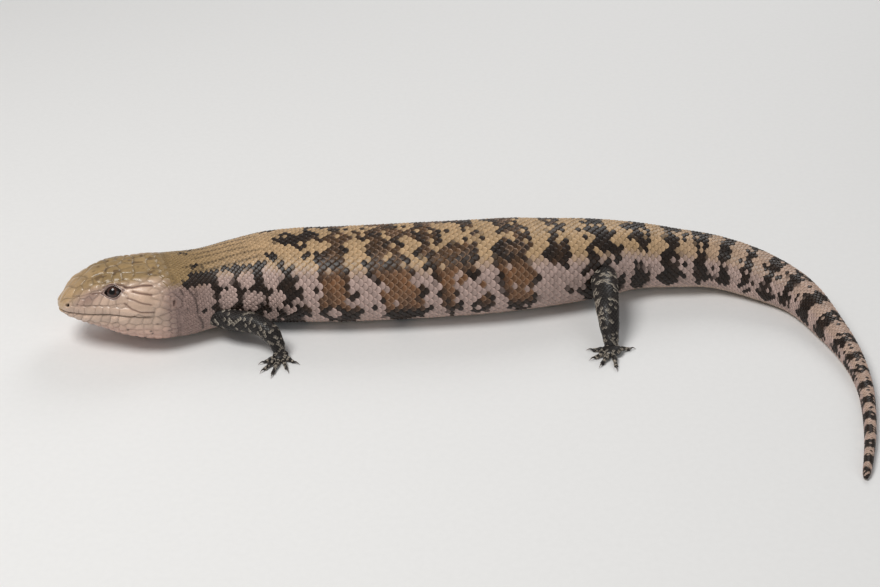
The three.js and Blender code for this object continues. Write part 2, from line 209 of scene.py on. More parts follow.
def at_share(s, share):
    """Points of the surface. Share runs from -1 at the right of the belly to 1 at the left."""
    s = np.clip(s, TABLE_S[0], TABLE_S[-1])
    row = np.interp(s, TABLE_S, np.arange(len(TABLE_S)))
    col = np.clip(np.abs(share), 0, 1) * ROUND
    r, c = np.minimum(row.astype(int), len(TABLE_S) - 2), np.minimum(col.astype(int), ROUND - 1)
    down, round_it = row - r, col - c

    def pick(table):
        low = table[r, c] * (1 - round_it) + table[r, c + 1] * round_it
        high = table[r + 1, c] * (1 - round_it) + table[r + 1, c + 1] * round_it
        return low * (1 - down) + high * down

    place, left = spine(s)
    out = pick(TABLE_OUT) * np.sign(share)
    return np.concatenate([place + left * out[..., None], pick(TABLE_Z)[..., None]], -1)


def on_body(s, u):
    """Point and outward normal of the surface, u millimetres to the left of the back's line."""
    share = u / np.maximum(girth(s), 1e-6)
    share = np.where(np.abs(share) > 1, np.sign(share) * 2 - share, share)
    along = at_share(s + 0.4, share) - at_share(s - 0.4, share)
    low, high = np.maximum(share - 0.012, -1), np.minimum(share + 0.012, 1)
    return at_share(s, share), unit(np.cross(at_share(s, high) - at_share(s, low), along))


print("half girth at the belly", round(float(girth(180)), 1), "mm")
print("back at mid trunk", np.round(on_body(np.array([150.0]), np.array([0.0]))[0][0], 1))

# %% [markdown]
# ## Markings
#
# The pattern is the species' own: a tan back that fades to pale lavender on the flanks
# and cream below, crossed by dark bands that break into brown blocks on the sides, a
# net of black lines on the neck, and near-black legs flecked with white. Every scale
# takes one colour, so the edges of a band step from scale to scale. Each place is given
# by its distance from the snout and its distance over the skin from the back.

# %% Colours and bands


def rgb(r, g, b):
    """A linear colour from a screen colour of 0 to 255."""
    c = np.array([r, g, b]) / 255
    return np.where(c <= 0.04045, c / 12.92, ((c + 0.055) / 1.055) ** 2.4)


TAN, LAVENDER, CREAM = rgb(194, 162, 124), rgb(192, 167, 158), rgb(208, 188, 166)
BLACK, DARK, BROWN, RUST = rgb(24, 18, 16), rgb(44, 31, 22), rgb(92, 64, 38), rgb(116, 80, 53)
CROWN, CHEEK, CHIN = rgb(154, 127, 87), rgb(206, 178, 158), rgb(204, 168, 152)
THROAT, LEG, FLECK = rgb(164, 138, 130), rgb(30, 27, 26), rgb(165, 155, 142)

# Each pale band: its place on the back, at mid flank and low on the flank, and half its
# width at the same three heights.
BANDS = [
    (99, 125, 131, 10, 6.8, 5), (130, 128, 120, 3.5, 0.5, -6), (152, 150, 157, 6, 4.2, 6.5),
    (175, 182, 189, 6.0, 3.6, 6.5), (219.5, 214.5, 220, 5.2, 4.4, 5.6), (216, 213, 205, 2.5, 3, 5.6),
    (246, 241.5, 248, 7.2, 4.6, 9.5), (266, 264, 260, 6.6, 5.4, 3.6), (288, 292, 290, 5.6, 6, 4),
    (310, 310, 309, 5, 5, 4.2), (326, 325, 326, 4.4, 4.4, 4.2), (341.5, 341, 342, 4, 4.2, 4.2),
    (356, 356, 357, 4.4, 4.4, 4), (368, 368, 369, 3.8, 4, 4), (382, 382, 383, 3.8, 4, 4),
    (398, 397, 398, 4.8, 4.6, 4.4), (413.5, 413, 414, 3.8, 3.6, 3.6), (429, 429, 430, 4.6, 4.4, 4),
    (444.5, 444, 445, 3.4, 3.4, 3.2), (455.5, 455, 456, 2.8, 3, 3), (466, 466, 466, 3, 3, 3),
    (477, 477, 478, 2.8, 2.8, 2.8), (488, 488, 489, 2.8, 2.6, 2.6), (499, 499, 500, 2.5, 2.4, 2.4),
    (510, 510, 510, 2.3, 2.2, 2.2), (520, 520, 520, 2.1, 2, 2), (530, 530, 530, 2, 1.8, 1.8),
]
FLANK_HEIGHTS = [0, 0.28, 0.54]  # back, mid flank and low flank, 1 being the line of the belly
# Pale cells of the net on the side of the neck: from snout, from back, half length, half height
CELLS = [
    (68.4, 25.0, 4.9, 6.4), (70.5, 39.5, 5.2, 7.0), (80.0, 18.2, 4.4, 4.2), (79.6, 29.2, 4.8, 5.8),
    (90.0, 21.6, 4.4, 5.0), (92.6, 33.4, 6.0, 5.2), (105.4, 23.0, 6.2, 7.0), (108.0, 36.6, 7.0, 5.0),
    (83.4, 39.6, 5.5, 3.6), (116.0, 43.4, 4.6, 4.0), (102.0, 45.2, 6.4, 3.0), (126.0, 48.0, 4.4, 3.0),
]
# Pale islands within the dark of the back and flank, given in the same way
ISLANDS = [
    (199, 4.5, 6.0, 5.6), (131, 8.5, 6.0, 4.4), (141, 47, 7, 3.4), (260, 25, 4.6, 3.4),
    (254, 32, 7, 4.6), (268, 31, 4, 3), (275, 20, 5.5, 3.2), (285, 26, 6, 4), (300, 19, 5.5, 4.5),
]


def hashed(*values):
    """A repeatable number from 0 to 1 for each set of values."""
    total = sum(np.asarray(v, float) * k for v, k in zip(values, (12.9898, 78.233, 37.719, 4.581)))
    return np.abs(np.sin(total) * 43758.5453) % 1.0


def noise(a, b, seed):
    """Smooth noise from 0 to 1 over a plane."""
    a, b = np.asarray(a, float), np.asarray(b, float)
    ia, ib = np.floor(a), np.floor(b)
    ta, tb = ramp(a - ia, 0, 1), ramp(b - ib, 0, 1)
    low, high = (
        hashed(ia + i, ib, seed) * (1 - tb) + hashed(ia + i, ib + 1, seed) * tb for i in (0, 1)
    )
    return low * (1 - ta) + high * ta


def mix(a, b, t):
    return a + (b - a) * np.asarray(t)[..., None]


def bands(s, w, side_shift):
    """How far inside the nearest pale band a place lies, in millimetres. Outside is below 0."""
    deep = np.full(s.shape, -30.0)
    for band in BANDS:
        centre = np.interp(w, FLANK_HEIGHTS, band[:3])
        half = np.interp(w, FLANK_HEIGHTS, band[3:])
        drift = side_shift * (noise(band[0] / 17, 1.5, 9) - 0.5)
        deep = np.maximum(deep, half - np.abs(s - centre - drift))
    return deep


def oval(s, over, spot, power):
    """How far inside an oval a place lies, in millimetres."""
    at, row, long, tall = spot
    share = np.abs((s - at) / long) ** power + np.abs((over - row) / tall) ** power
    return (1 - share ** (1 / power)) * min(long, tall)


def away_from(s, u, line):
    """Distance from points to a bent line over the skin."""
    best = np.full(s.shape, 99.0)
    for (s0, u0), (s1, u1) in zip(line, line[1:]):
        long = (s1 - s0) ** 2 + (u1 - u0) ** 2
        t = np.clip(((s - s0) * (s1 - s0) + (u - u0) * (u1 - u0)) / long, 0, 1)
        best = np.minimum(best, np.hypot(s - s0 - t * (s1 - s0), u - u0 - t * (u1 - u0)))
    return best


NECK_BAR, BAR_HALF = [(60.5, 17.8), (76, 12.6)], 1.9


def neck_net(s, over):
    """How far inside a pale cell of the neck's net a place lies, in millimetres."""
    deep = np.maximum(-9.0, np.max([oval(s, over, cell, 2.8) for cell in CELLS], axis=0) - 0.25)
    # In front of the first cells the throat is plain, under a dark bar
    plain = 64.5 - s + 0.25 * (over - 24)
    return np.minimum(np.maximum(deep, plain), (away_from(s, over, NECK_BAR) - BAR_HALF) * 1.6)


# Dotted lines of the nape: from back, start, end, darkness
NAPE_ROWS = [
    (2.4, 64, 100, 0.85), (7.1, 58, 106, 1), (11.2, 60, 104, 1), (15, 98, 118, 0.5),
    (4.8, 104, 124, 0.6),
]
THROAT_LINES = [
    [(61, 20), (63.4, 24), (64.2, 29), (64.0, 33)], [(64.4, 35), (66, 39), (66.4, 44)],
    [(57.6, 20.4), (58.6, 23)], [(59.5, 30), (59.9, 31)],
]


def neck_lines(s, u):
    """Darkness of the dotted lines along the nape and of the thin lines on the throat."""
    over, dark = np.abs(u), np.zeros(s.shape)
    dots = 0.3 + 0.7 * (np.sin(s * 3.4) > -0.2)
    for row, start, end, strong in NAPE_ROWS:
        run = strong * ramp(s, start, start + 6) * fall(s, end - 8, end)
        dark = np.maximum(dark, run * dots * bump(over, row + 0.5 * np.sin(s / 9 + row), 0.75))
    for line in THROAT_LINES:
        dark = np.maximum(dark, 0.9 * bump(away_from(s, over, line), 0, 0.5))
    return dark


# %% [markdown]
# One function colours the whole body. It finds the ground colour from the height on the
# flank, then how far inside a pale or a dark patch the place lies, and mixes the two.

# %% Colour of any place


def paleness(s, u, w, grain):
    """How far inside the pale parts a place lies, in millimetres, with ragged edges."""
    over = np.abs(u)
    ragged = (noise(s / 7, u / 5.5, 3) + noise(s / 2.8, u / 2.8, 13) - 1) * 4.2
    ragged = ragged + (grain - 0.5) * 3.0 - 0.4
    pale = bands(s, w, (u < 0) * 4.0) + ragged * np.clip(girth(s) / 75, 0.2, 1)
    pale = pale - 9 * fall(over, 3.0, 6.5) * ramp(s, 106, 114) * fall(s, 184, 192)
    pale = pale - 4 * bump(s, 209, 2.6) * fall(over, 10, 14)
    bars = bump(s, 188, 3.5) + bump(s, 230, 4.5) + bump(s, 254, 2.5)
    pale = pale - 2.5 * bars * fall(over, 16, 20)
    neck = (s < np.interp(w, FLANK_HEIGHTS, [103, 115, 126])) & (over > 10)
    pale = np.where(neck, neck_net(s, over) + (grain - 0.5) * 0.9 + ragged * 0.08, pale)
    for spot in ISLANDS:
        pale = np.maximum(pale, oval(s, over, spot, 2) + ragged * 0.45)
    speckle = (hashed(np.round(s / 2.2), np.round(u / 4.0), 23) > 0.84) & (over < 11)
    speckle &= (s > 118) & (s < 280) & (pale < 0)
    pale = np.where(speckle, 0.4, pale)
    # The nape is pale, and so is the belly under a dark edge
    border = 11.5 + 3.5 * ramp(s, 78, 104)
    nape = 16 * fall(s, 92, 108) * fall(over, border - 1.5, border + 1.5)
    pale = pale + nape + np.where(neck, 0, nape + 14 * fall(s, 57, 63))
    return pale + ramp(w, 0.6, 0.8) * 7 - bump(w, 0.56, 0.06) * 2.2 * ramp(s, 100, 130)


def body_colour(s, u, grain):
    """Tint of the skin at s, u and of a scale's free edge there, the edge paler with a painted
    highlight. Grain is random by scale.
    """
    s, u = np.asarray(s, float), np.asarray(u, float)
    w = np.abs(u) / girth(s)  # 0 on the back, 1 under the belly
    # The ground colour: tan above, lavender on the flank, cream below
    line = 0.27 + 0.05 * (noise(s / 11, 4, 8) - 0.5) - 0.07 * bump(s, 92, 24)
    above = mix(mix(CROWN, TAN, ramp(s, 52, 96)), LAVENDER * 1.02, ramp(s, 290, 400) * 0.7)
    ground = mix(above, LAVENDER, ramp(w, line - 0.02, line + 0.09))
    ground = mix(ground, CREAM, ramp(w, 0.66, 0.86))
    ground = mix(ground, THROAT, fall(s, 60, 82) * ramp(w, 0.24, 0.32) * fall(w, 0.6, 0.9))
    ground = ground * (0.84 + 0.26 * grain)[..., None]
    pale = paleness(s, u, w, grain)
    light = ramp(pale, -0.35, 0.35)
    # The dark is black beside the bands, on the neck and low down, and brown to rust between
    blotch = noise(s / 5, u / 4, 5)
    trunk = ramp(s, 122, 138) * fall(s, 240, 262) * ramp(-pale, 0.6, 4.2)
    flank = ramp(w, 0.28, 0.36) * fall(w, 0.52, 0.60) * trunk
    upper = fall(w, 0.28, 0.40) * trunk
    dark = mix(BLACK, DARK, 0.35 + 0.5 * blotch)
    dark = mix(dark, BROWN, np.clip(upper * (0.25 + 1.5 * (blotch - 0.35)), 0, 0.9))
    dark = mix(dark, RUST, np.clip(flank * (0.75 + 0.5 * blotch), 0, 1))
    dark = dark * (0.7 + 0.6 * grain)[..., None]
    # Lone scales of the other colour break both
    stray = hashed(np.round(s * 3), np.round(u * 3), 11)
    tail, trunk_on = ramp(s, 280, 330), s > 108
    lost = (stray > 0.95 - 0.03 * tail) & (pale > 0.2) & (pale < 5) & (w < 0.62) & trunk_on
    found = (stray < 0.07 + 0.05 * tail) & (pale < -0.6) & trunk_on
    light = np.where(found, 0.85, np.where(lost, 0.0, light))
    # A painted highlight makes a scale's free edge paler, most of all on the rust brown ones
    edge_highlight = np.clip(flank * 0.7 + upper * (0.1 + 0.6 * (grain > 0.5)), 0, 0.7)
    rim = mix(mix(dark * 1.6, rgb(182, 148, 122), edge_highlight), ground * 1.3, light)
    return mix(dark, ground * 0.84, light), np.minimum(rim, 0.9)


print("tint on the first band", np.round(body_colour([109.0], [4.0], np.array([0.5]))[0], 3))

# %% [markdown]
# ## Meshes and materials
#
# Small helpers turn arrays into meshes and let the shader maths read as plain sums. Each
# piece carries its own colour in an attribute called tint, and a second one called edge
# that is 0 in the middle of a scale and 1 on its rim.

# %% Meshes
BODY = "root"


def set_layers(mesh, tint, edge):
    """Write the colour and the edge share of every point into a mesh."""
    full = np.concatenate([tint, np.ones((len(tint), 1))], -1)
    for name, kind, field, values in (
        ("tint", "FLOAT_COLOR", "color", full), ("edge", "FLOAT", "value", edge),
    ):
        if name in mesh.attributes:
            mesh.attributes.remove(mesh.attributes[name])
        if values is not None:
            layer = mesh.attributes.new(name, kind, "POINT")
            layer.data.foreach_set(field, np.asarray(values, np.float32).ravel())


def make_mesh(name, points, groups, tint=None, edge=None, uv=None):
    """A mesh object from points in millimetres and groups of faces with as many corners."""
    mesh = bpy.data.meshes.new(name)
    groups = [np.asarray(g, np.int32) for g in groups]
    corners = np.concatenate([g.ravel() for g in groups])
    sizes = np.concatenate([np.full(len(g), g.shape[1], np.int32) for g in groups])
    starts = np.concatenate([[0], np.cumsum(sizes)[:-1]]).astype(np.int32)
    mesh.vertices.add(len(points))
    mesh.vertices.foreach_set("co", (np.asarray(points) * MM).astype(np.float32).ravel())
    mesh.loops.add(len(corners))
    mesh.loops.foreach_set("vertex_index", corners)
    mesh.polygons.add(len(sizes))
    mesh.polygons.foreach_set("loop_start", starts)
    mesh.update(calc_edges=True)
    mesh.polygons.foreach_set("use_smooth", np.full(len(sizes), True))
    if tint is not None:
        set_layers(mesh, tint, edge)
    if uv is not None:
        layer = mesh.uv_layers.new(name="OFBake")
        layer.data.foreach_set("uv", np.asarray(uv, np.float32)[corners].ravel())
    obj = bpy.data.objects.new(name, mesh)
    bpy.context.collection.objects.link(obj)
    return obj


def grid_faces(rows, sides):
    """Quads between rings of points."""
    i, j = np.meshgrid(np.arange(rows - 1), np.arange(sides), indexing="ij")
    a, b = i * sides + j, i * sides + (j + 1) % sides
    return np.stack([a, b, b + sides, a + sides], -1).reshape(-1, 4)


def halves(quads):
    """Both triangles of every quad."""
    return np.concatenate([quads[:, [0, 1, 2]], quads[:, [0, 2, 3]]])


def fan(start, sides, centre):
    """Triangles from a ring of points, whose first is numbered start, to a centre point."""
    j = np.arange(sides)
    return np.stack([start + j, start + (j + 1) % sides, np.full(sides, centre)], -1)


def capped(points, ends, sides):
    """Rings of points closed at both ends: all the points, the quads and the triangles."""
    n = len(points)
    caps = np.concatenate([fan(0, sides, n)[:, ::-1], fan(n - sides, sides, n + 1)])
    return np.concatenate([points, ends]), grid_faces(n // sides, sides), caps


def face_out(obj):
    """Turn every face of a closed mesh to point outward."""
    mesh = obj.data
    mesh.calc_loop_triangles()
    index = np.empty(len(mesh.loop_triangles) * 3, np.int32)
    mesh.loop_triangles.foreach_get("vertices", index)
    co = np.empty(len(mesh.vertices) * 3, np.float32)
    mesh.vertices.foreach_get("co", co)
    a, b, c = np.moveaxis(co.reshape(-1, 3)[index.reshape(-1, 3)].astype(float), 1, 0)
    if np.einsum("ij,ij->i", a, np.cross(b, c)).sum() < 0:
        mesh.flip_normals()
    return obj


def finish_piece(obj, material, replaced=()):
    obj.data.materials.append(material)
    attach(obj, BODY)
    if replaced:
        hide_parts(*replaced)


# %% [markdown]
# A socket that adds and multiplies like a number keeps the materials short. A material
# is built by calls that each make one node.

# %% Shader maths


def operator(operation, swap=False):
    def apply(self, other):
        a, b = (other, self) if swap else (self, other)
        return self.shader.node("ShaderNodeMath", {"operation": operation}, a, b)

    return apply


class Sock:
    """A shader socket that takes part in sums and products like a number."""

    def __init__(self, shader, socket):
        self.shader, self.socket = shader, socket

    __add__, __radd__ = operator("ADD"), operator("ADD", True)
    __mul__, __rsub__ = operator("MULTIPLY"), operator("SUBTRACT", True)


class Shader:
    """A material's node tree, with one call for every node."""

    def __init__(self, name):
        self.material = bpy.data.materials.new(name)
        self.material.use_nodes = True
        self.tree = self.material.node_tree

    def fill(self, made, values):
        for key, value in values:
            if isinstance(value, Sock):
                self.tree.links.new(value.socket, made.inputs[key])
            elif value is not None:
                made.inputs[key].default_value = value

    def node(self, kind, settings, *values, output=0, **named):
        made = self.tree.nodes.new(kind)
        for key, value in settings.items():
            setattr(made, key, value)
        self.fill(made, list(enumerate(values)) + list(named.items()))
        return Sock(self, made.outputs[output])

    def mix(self, factor, a, b):
        skipped = [None] * 5  # the inputs for plain numbers and vectors
        return self.node("ShaderNodeMix", {"data_type": "RGBA"}, factor, *skipped, a, b, output=2)

    def scale_colour(self, colour, factor):
        return self.node("ShaderNodeVectorMath", {"operation": "SCALE"}, colour, Scale=factor)

    def attribute(self, name, output=0):
        return self.node("ShaderNodeAttribute", {"attribute_name": name}, output=output)

    def noise(self, size, detail):
        """Noise whose lumps are about size millimetres across."""
        place = self.node("ShaderNodeTexCoord", {}, output=3)
        return self.node("ShaderNodeTexNoise", {}, Vector=place, Scale=1 / (size * MM), Detail=detail)

    def bump(self, height, strength, distance):
        return self.node("ShaderNodeBump", {}, Height=height, Strength=strength, Distance=distance * MM)

    def set(self, **inputs):
        named = [(key.replace("_", " "), value) for key, value in inputs.items()]
        self.fill(self.tree.nodes["Principled BSDF"], named)
        return self.material


# %% [markdown]
# Scales are horn over a thin bony plate, smooth and a little oily. Each is dull along
# its rim, where it is worn and dusty, and glossy in the middle, with faint growth lines.
# The bare skin has painted shade in its grooves.

# %% Skin materials


def hide_material(name, groove, shade, rough, **finish):
    """Skin or scales. Shade: the least and the mottling. Rough: the least and the edge's rise."""
    sh = Shader(name)
    tint, edge = sh.attribute("tint"), sh.attribute("edge", output=2)
    fine, broad = sh.noise(0.5, 4.0), sh.noise(6.0, 2.0)
    # Groove darkens the colour along the edge attribute, a painted shade in the grooves, folds and gaps
    # between scales.
    groove_shade_and_mottle = (1.0 - edge * groove) * (shade[0] + fine * 0.34 + broad * shade[1])
    return sh.set(
        Base_Color=sh.scale_colour(tint, groove_shade_and_mottle),
        Roughness=rough[0] + edge * rough[1] + fine * 0.16,
        Normal=sh.bump(fine + sh.noise(0.2, 2.0) * 0.4, 0.4, 0.1), **finish,
    )


SCALES = hide_material(
    "scales", 0.0, (0.74, 0.2), (0.30, 0.08),
    Specular_IOR_Level=0.26, Coat_Weight=0.12, Coat_Roughness=0.16,
)
SKIN = hide_material(
    "skin", 0.6, (0.70, 0.26), (0.26, 0.3),
    Specular_IOR_Level=0.5, Coat_Weight=0.3, Coat_Roughness=0.14,
)

# %% [markdown]
# ## Head
#
# Where the body has scales, the head has shields: large plates with fine grooves
# between, in an order that is the same in every animal of the kind. Each shield is
# named by the place of its middle, and every point of the skin belongs to the nearest.

# %% Places on the head
EYE_S, EYE_Z, EYE_RADIUS, EYE_SUNK = 30.0, 34.6, 4.7, 3.9
OPEN_LONG, OPEN_TALL = 4.1, 2.7


def u_at(s, z):
    """Distance over the left skin from the back to a height, at each s."""
    s, z = np.broadcast_arrays(np.asarray(s, float), np.asarray(z, float))
    found = []
    for one_s, one_z in zip(s.ravel(), z.ravel()):
        r = int(np.argmin(np.abs(TABLE_S - one_s)))
        found.append(np.interp(one_z, TABLE_Z[r][::-1], SHARES[::-1]) * GIRTH[r])
    return np.array(found).reshape(s.shape)


def mouth_u(s):
    """The line of the mouth, as a distance over the skin from the back."""
    return u_at(s, mouth_height(s))


EYE, NOSTRIL, EAR = (
    (s, float(u_at(s, z))) for s, z in ((EYE_S, EYE_Z), (6.6, 25.2), (54.0, 27.8))
)
MOUTH_LINE = (np.linspace(0.5, 48, 96), mouth_u(np.linspace(0.5, 48, 96)))
print("eye lies", round(EYE[1], 1), "mm from the line of the back")

# %% Shields of the head
SHIELDS = [
    # from snout, from the line of the back, size of the plate
    (1.2, 0, 1.25), (4.5, 3.2, 1.0), (8.5, 0, 1.15), (12.5, 4.6, 1.15), (20.5, 0, 1.9),
    (8.0, 8.2, 0.9), (12.6, 10.6, 0.9), (17.2, 9.2, 1.0), (22.4, 8.4, 1.1), (27.4, 9.2, 1.15),
    (32.4, 9.4, 1.1), (36.8, 9.0, 1.0), (29.6, 3.0, 1.2), (35.4, 0, 1.2), (37.6, 4.6, 1.1),
    (43.0, 4.2, 1.5), (42.4, 10.8, 1.2), (48.6, 2.6, 1.0), (48.8, 8.0, 1.0), (47.8, 13.4, 1.0),
    (53.6, 0, 0.9), (53.8, 5.2, 0.9), (53.6, 10.4, 0.9), (53.0, 15.6, 0.9),
    (21.0, 13.2, 0.7), (24.6, 13.6, 0.6), (28.2, 13.9, 0.6), (31.8, 13.9, 0.6), (35.4, 13.6, 0.7),
    (39.4, 14.6, 0.9), (44.0, 16.6, 1.0), (49.0, 18.4, 0.9),
    (15.8, 14.6, 0.95), (11.2, 15.6, 0.85), (20.0, 17.4, 0.9), (7.6, 16.0, 0.75), (4.6, 11.4, 0.85),
]
LIP_SEAMS = [9.3, 12.0, 15.3, 20.1, 23.6, 27.4, 32.7]
# From the nostril to under the eye, then the temples, then the plates behind them
CHEEK_SHIELDS = [
    (13.6, 17.2, 0.9), (17.6, 18.4, 0.9), (21.6, 19.6, 0.9), (25.2, 21.6, 0.9), (29.4, 23.2, 0.9),
    (33.8, 23.2, 0.9),
    (41, 18.4, 1.1), (41.5, 22.6, 1.1), (39.5, 25.4, 1.0), (46.5, 26.5, 0.9), (44, 29.6, 0.9),
    (47.6, 20, 0.8), (48.4, 23.4, 0.8), (50.2, 17.2, 0.8), (51.2, 20.8, 0.8), (51.4, 24.4, 0.8),
    (50, 27.6, 0.8), (47.8, 30.6, 0.8),
]
lip_ends = [6.0] + LIP_SEAMS + [39.0]
for start, end in zip(lip_ends, lip_ends[1:]):
    middle = (start + end) / 2
    SHIELDS.append((middle, float(mouth_u(middle)) - 2.0, 0.95))  # upper lip
for s in np.arange(6.5, 43, 4.6):
    SHIELDS.append((s, float(mouth_u(s)) + 2.6, 0.95))  # lower lip
SHIELDS.extend(CHEEK_SHIELDS)
for row, s in enumerate(np.arange(3.5, 60, 3.3)):
    first = float(mouth_u(min(s, 46.0))) + 6.2 - 5.0 * float(ramp(s, 36, 46))
    for u in np.arange(first + 1.7 * (row % 2), float(girth(s)) + 1.5, 3.4):
        SHIELDS.append((s, u, 0.75))  # chin and throat
for row, s in enumerate(np.arange(53.8, 66, 2.2)):
    for u in np.arange(18 + 1.1 * (row % 2), float(u_at(s, 21.0)) + 1, 2.3):
        SHIELDS.append((s, u, 0.5))  # fine scales behind the head
print(len(SHIELDS), "shields on each side of the head")


def shield_relief(s, u):
    """Nearest shield for each point, the groove beside it and its swell, from 0 to 1."""
    near, second = np.full(len(s), 1e9), np.full(len(s), 1e9)
    which = np.zeros(len(s), int)
    mirrored = [(k, x, y, size) for k, (x, y, size) in enumerate(SHIELDS)]
    mirrored += [(k, x, -y, size) for k, x, y, size in mirrored if 0 < y < 16]
    over = np.abs(u)
    for k, x, y, size in mirrored:
        reach = 9.0 * max(size, 1)
        index = np.nonzero((np.abs(s - x) < reach) & (np.abs(over - y) < reach))[0]
        d = np.hypot((s[index] - x) * 0.92, over[index] - y) / size
        nearer = d < near[index]
        second[index] = np.where(nearer, near[index], np.minimum(second[index], d))
        which[index] = np.where(nearer, k, which[index])
        near[index] = np.where(nearer, d, near[index])
    gap = np.clip((second - near) * 0.5, 0, 4)
    return which, bump(gap, 0, 0.27), np.clip(gap / 1.5, 0, 1) ** 0.7


# %% [markdown]
# Folds fan out behind the eye, and long seams part the shields of the snout and the
# lids. Where a fold or a lip plate lies, it takes the place of the plain seams.

# %% Folds of the face
# Points, half width, depth and darkness; the darkness is painted shade in the fold
CREASES = [
    ([(35.8, 16.2), (38.5, 16.8), (42, 16.3), (46.2, 17.0)], 0.50, 0.75, 0.90),
    ([(38.7, 18.9), (41.7, 20.4), (45.6, 22.0)], 0.46, 0.65, 0.80),
    ([(36.6, 21.9), (39, 23.4), (41.6, 25.4), (45, 27.0)], 0.40, 0.55, 0.60),
    ([(35.4, 24.3), (37.9, 27.8), (41, 30.0), (45.6, 31.0)], 0.40, 0.60, 0.62),
    ([(11.4, 16.8), (15.6, 19.8), (20.6, 22.3), (24.4, 23.4), (28.4, 24.4), (35.4, 24.3)],
     0.24, 0.30, 0.34),
    ([(9.4, 11.4), (14.6, 14.4), (19.5, 15.6), (25.3, 15.2)], 0.26, 0.30, 0.30),
    ([(19.5, 16.0), (23.6, 17.0), (25.4, 18.0)], 0.40, 0.40, 0.62),
    ([(25.0, 15.0), (28.0, 13.9), (31.5, 13.9), (35.0, 15.2), (36.6, 16.4)], 0.46, 0.60, 0.80),
    ([(24.6, 12.3), (28.4, 11.4), (32.6, 11.5), (37.2, 13.2)], 0.24, 0.28, 0.30),
]
for seam in LIP_SEAMS:
    foot = float(mouth_u(seam))
    CREASES.append(([(seam, foot), (seam + 0.5, foot - 3.8 + 1.2 * (seam < 13))], 0.2, 0.26, 0.34))


def face_lines(s, over, mouth):
    """Depth and painted shade of the folds, and how far they take the place of plain seams."""
    depth, dark = np.zeros(s.shape), np.zeros(s.shape)
    for line, width, deep, shade in CREASES:
        near = bump(away_from(s, over, line), 0, width)
        depth, dark = np.maximum(depth, deep * near), np.maximum(dark, shade * near)
    lip = ramp(over, mouth - 4.6, mouth - 4.0) * fall(over, mouth, mouth + 0.3) * fall(s, 34, 36)
    temple = ramp(s, 36, 37.5) * fall(s, 44.5, 46.5) * ramp(over, 15.2, 16.2) * fall(over, 30, 31)
    return depth, dark, np.maximum(lip, temple)


# %% [markdown]
# The eye is set in a frame of its own, with one axis along the head, one up and one
# out of the skin. The lids, the nostril and the ear are shaped in such frames too, so
# that an oval stays an oval where the skin slopes.

# %% Eye, nostril and ear


def skin_frame(s, u, side):
    """Origin and the three axes at a place on the skin."""
    places, normals = on_body(np.array([s, s + 1.5]), np.full(2, side * u))
    out = normals[0]
    up = unit(np.cross(out, places[1] - places[0]))
    up = up * np.sign(up[2])
    along = np.cross(up, out)
    return places[0], along * np.sign(along[0]), up, out


def in_frame(points, place):
    origin, along, up, _ = place
    return (points - origin) @ along, (points - origin) @ up


EYES, NOSTRILS, EARS = (
    {side: skin_frame(*spot, side) for side in (1, -1)} for spot in (EYE, NOSTRIL, EAR)
)
INSETS = [0, 44, 50, 62, 86, 300, 391, 501, 538], [0.35, 0.35, 0.4, 0.5, 0.6, 0.5, 0.38, 0.24, 0.2]
DOTS = [
    (57.8, 24), (52, 31), (50.4, 42.3), (51.3, 42.4), (46.4, 38), (43.9, 42), (44.2, 44), (35.4, 40),
]


def inset(s):
    """How far the skin lies under the solids' surface, to leave room for the scales."""
    return np.interp(s, *INSETS)


def head_colour(s, u, which, mouth):
    """Colour of the head from crown to chin."""
    over = np.abs(u)
    side = ramp(over, 9.5 + 2.5 * bump(s, 30, 12), 17)
    colour = mix(CROWN, CHEEK, side)
    colour = mix(colour, mix(TAN, CHEEK, side), fall(s, 5, 24) * 0.8)
    colour = mix(colour, CHIN, ramp(over, mouth + 3, mouth + 11))
    # The hollow before the eye is darkened with painted shade, and the temple is warmer
    colour = mix(colour, rgb(150, 116, 108), bump(s, 18, 6.5) * bump(over, 17.3, 3.2) * 0.62)
    colour = mix(colour, rgb(196, 162, 134), bump(s, 43, 6) * bump(over, 22, 6) * 0.35)
    mottle = 0.83 + noise(s / 3.0, u / 3.0, 21) * 0.2 + noise(s / 0.9, u / 0.9, 22) * 0.14
    colour = colour * ((0.88 + 0.2 * hashed(which, np.sign(u), 2)) * mottle)[:, None]
    smudge = ramp(noise(s / 2.2, u / 1.6, 27), 0.66, 0.86) * fall(over, 9, 14) * ramp(s, 10, 24)
    colour = mix(colour, rgb(84, 60, 36), smudge * 0.7)
    grain = hashed(np.round(s / 2), np.round(u / 2))
    colour = mix(colour, body_colour(s, u, grain)[0] * 0.92, ramp(s, 46, 57))
    # Painted shade in the hollow behind the jaw, where the neck begins
    colour = mix(colour, rgb(150, 118, 108), bump(s, 53, 4.5) * bump(over, 29, 10) * 0.5)
    for at, row in DOTS:
        colour = mix(colour, BLACK, 0.8 * np.exp(-((np.hypot(s - at, over - row) / 0.55) ** 4)))
    return colour


def pit(points, place, long, tall, reach, deep, start, rim):
    """Ring number and push of a hole in the skin. Rim is its edge's height, place and width."""
    x, y = in_frame(points, place)
    ring = np.hypot(x / long, y / tall)
    height, at, width = rim
    push = height * bump(ring, at, width) - deep * fall(ring, start, 1.05)
    return ring, np.where(ring < reach, push, 0)


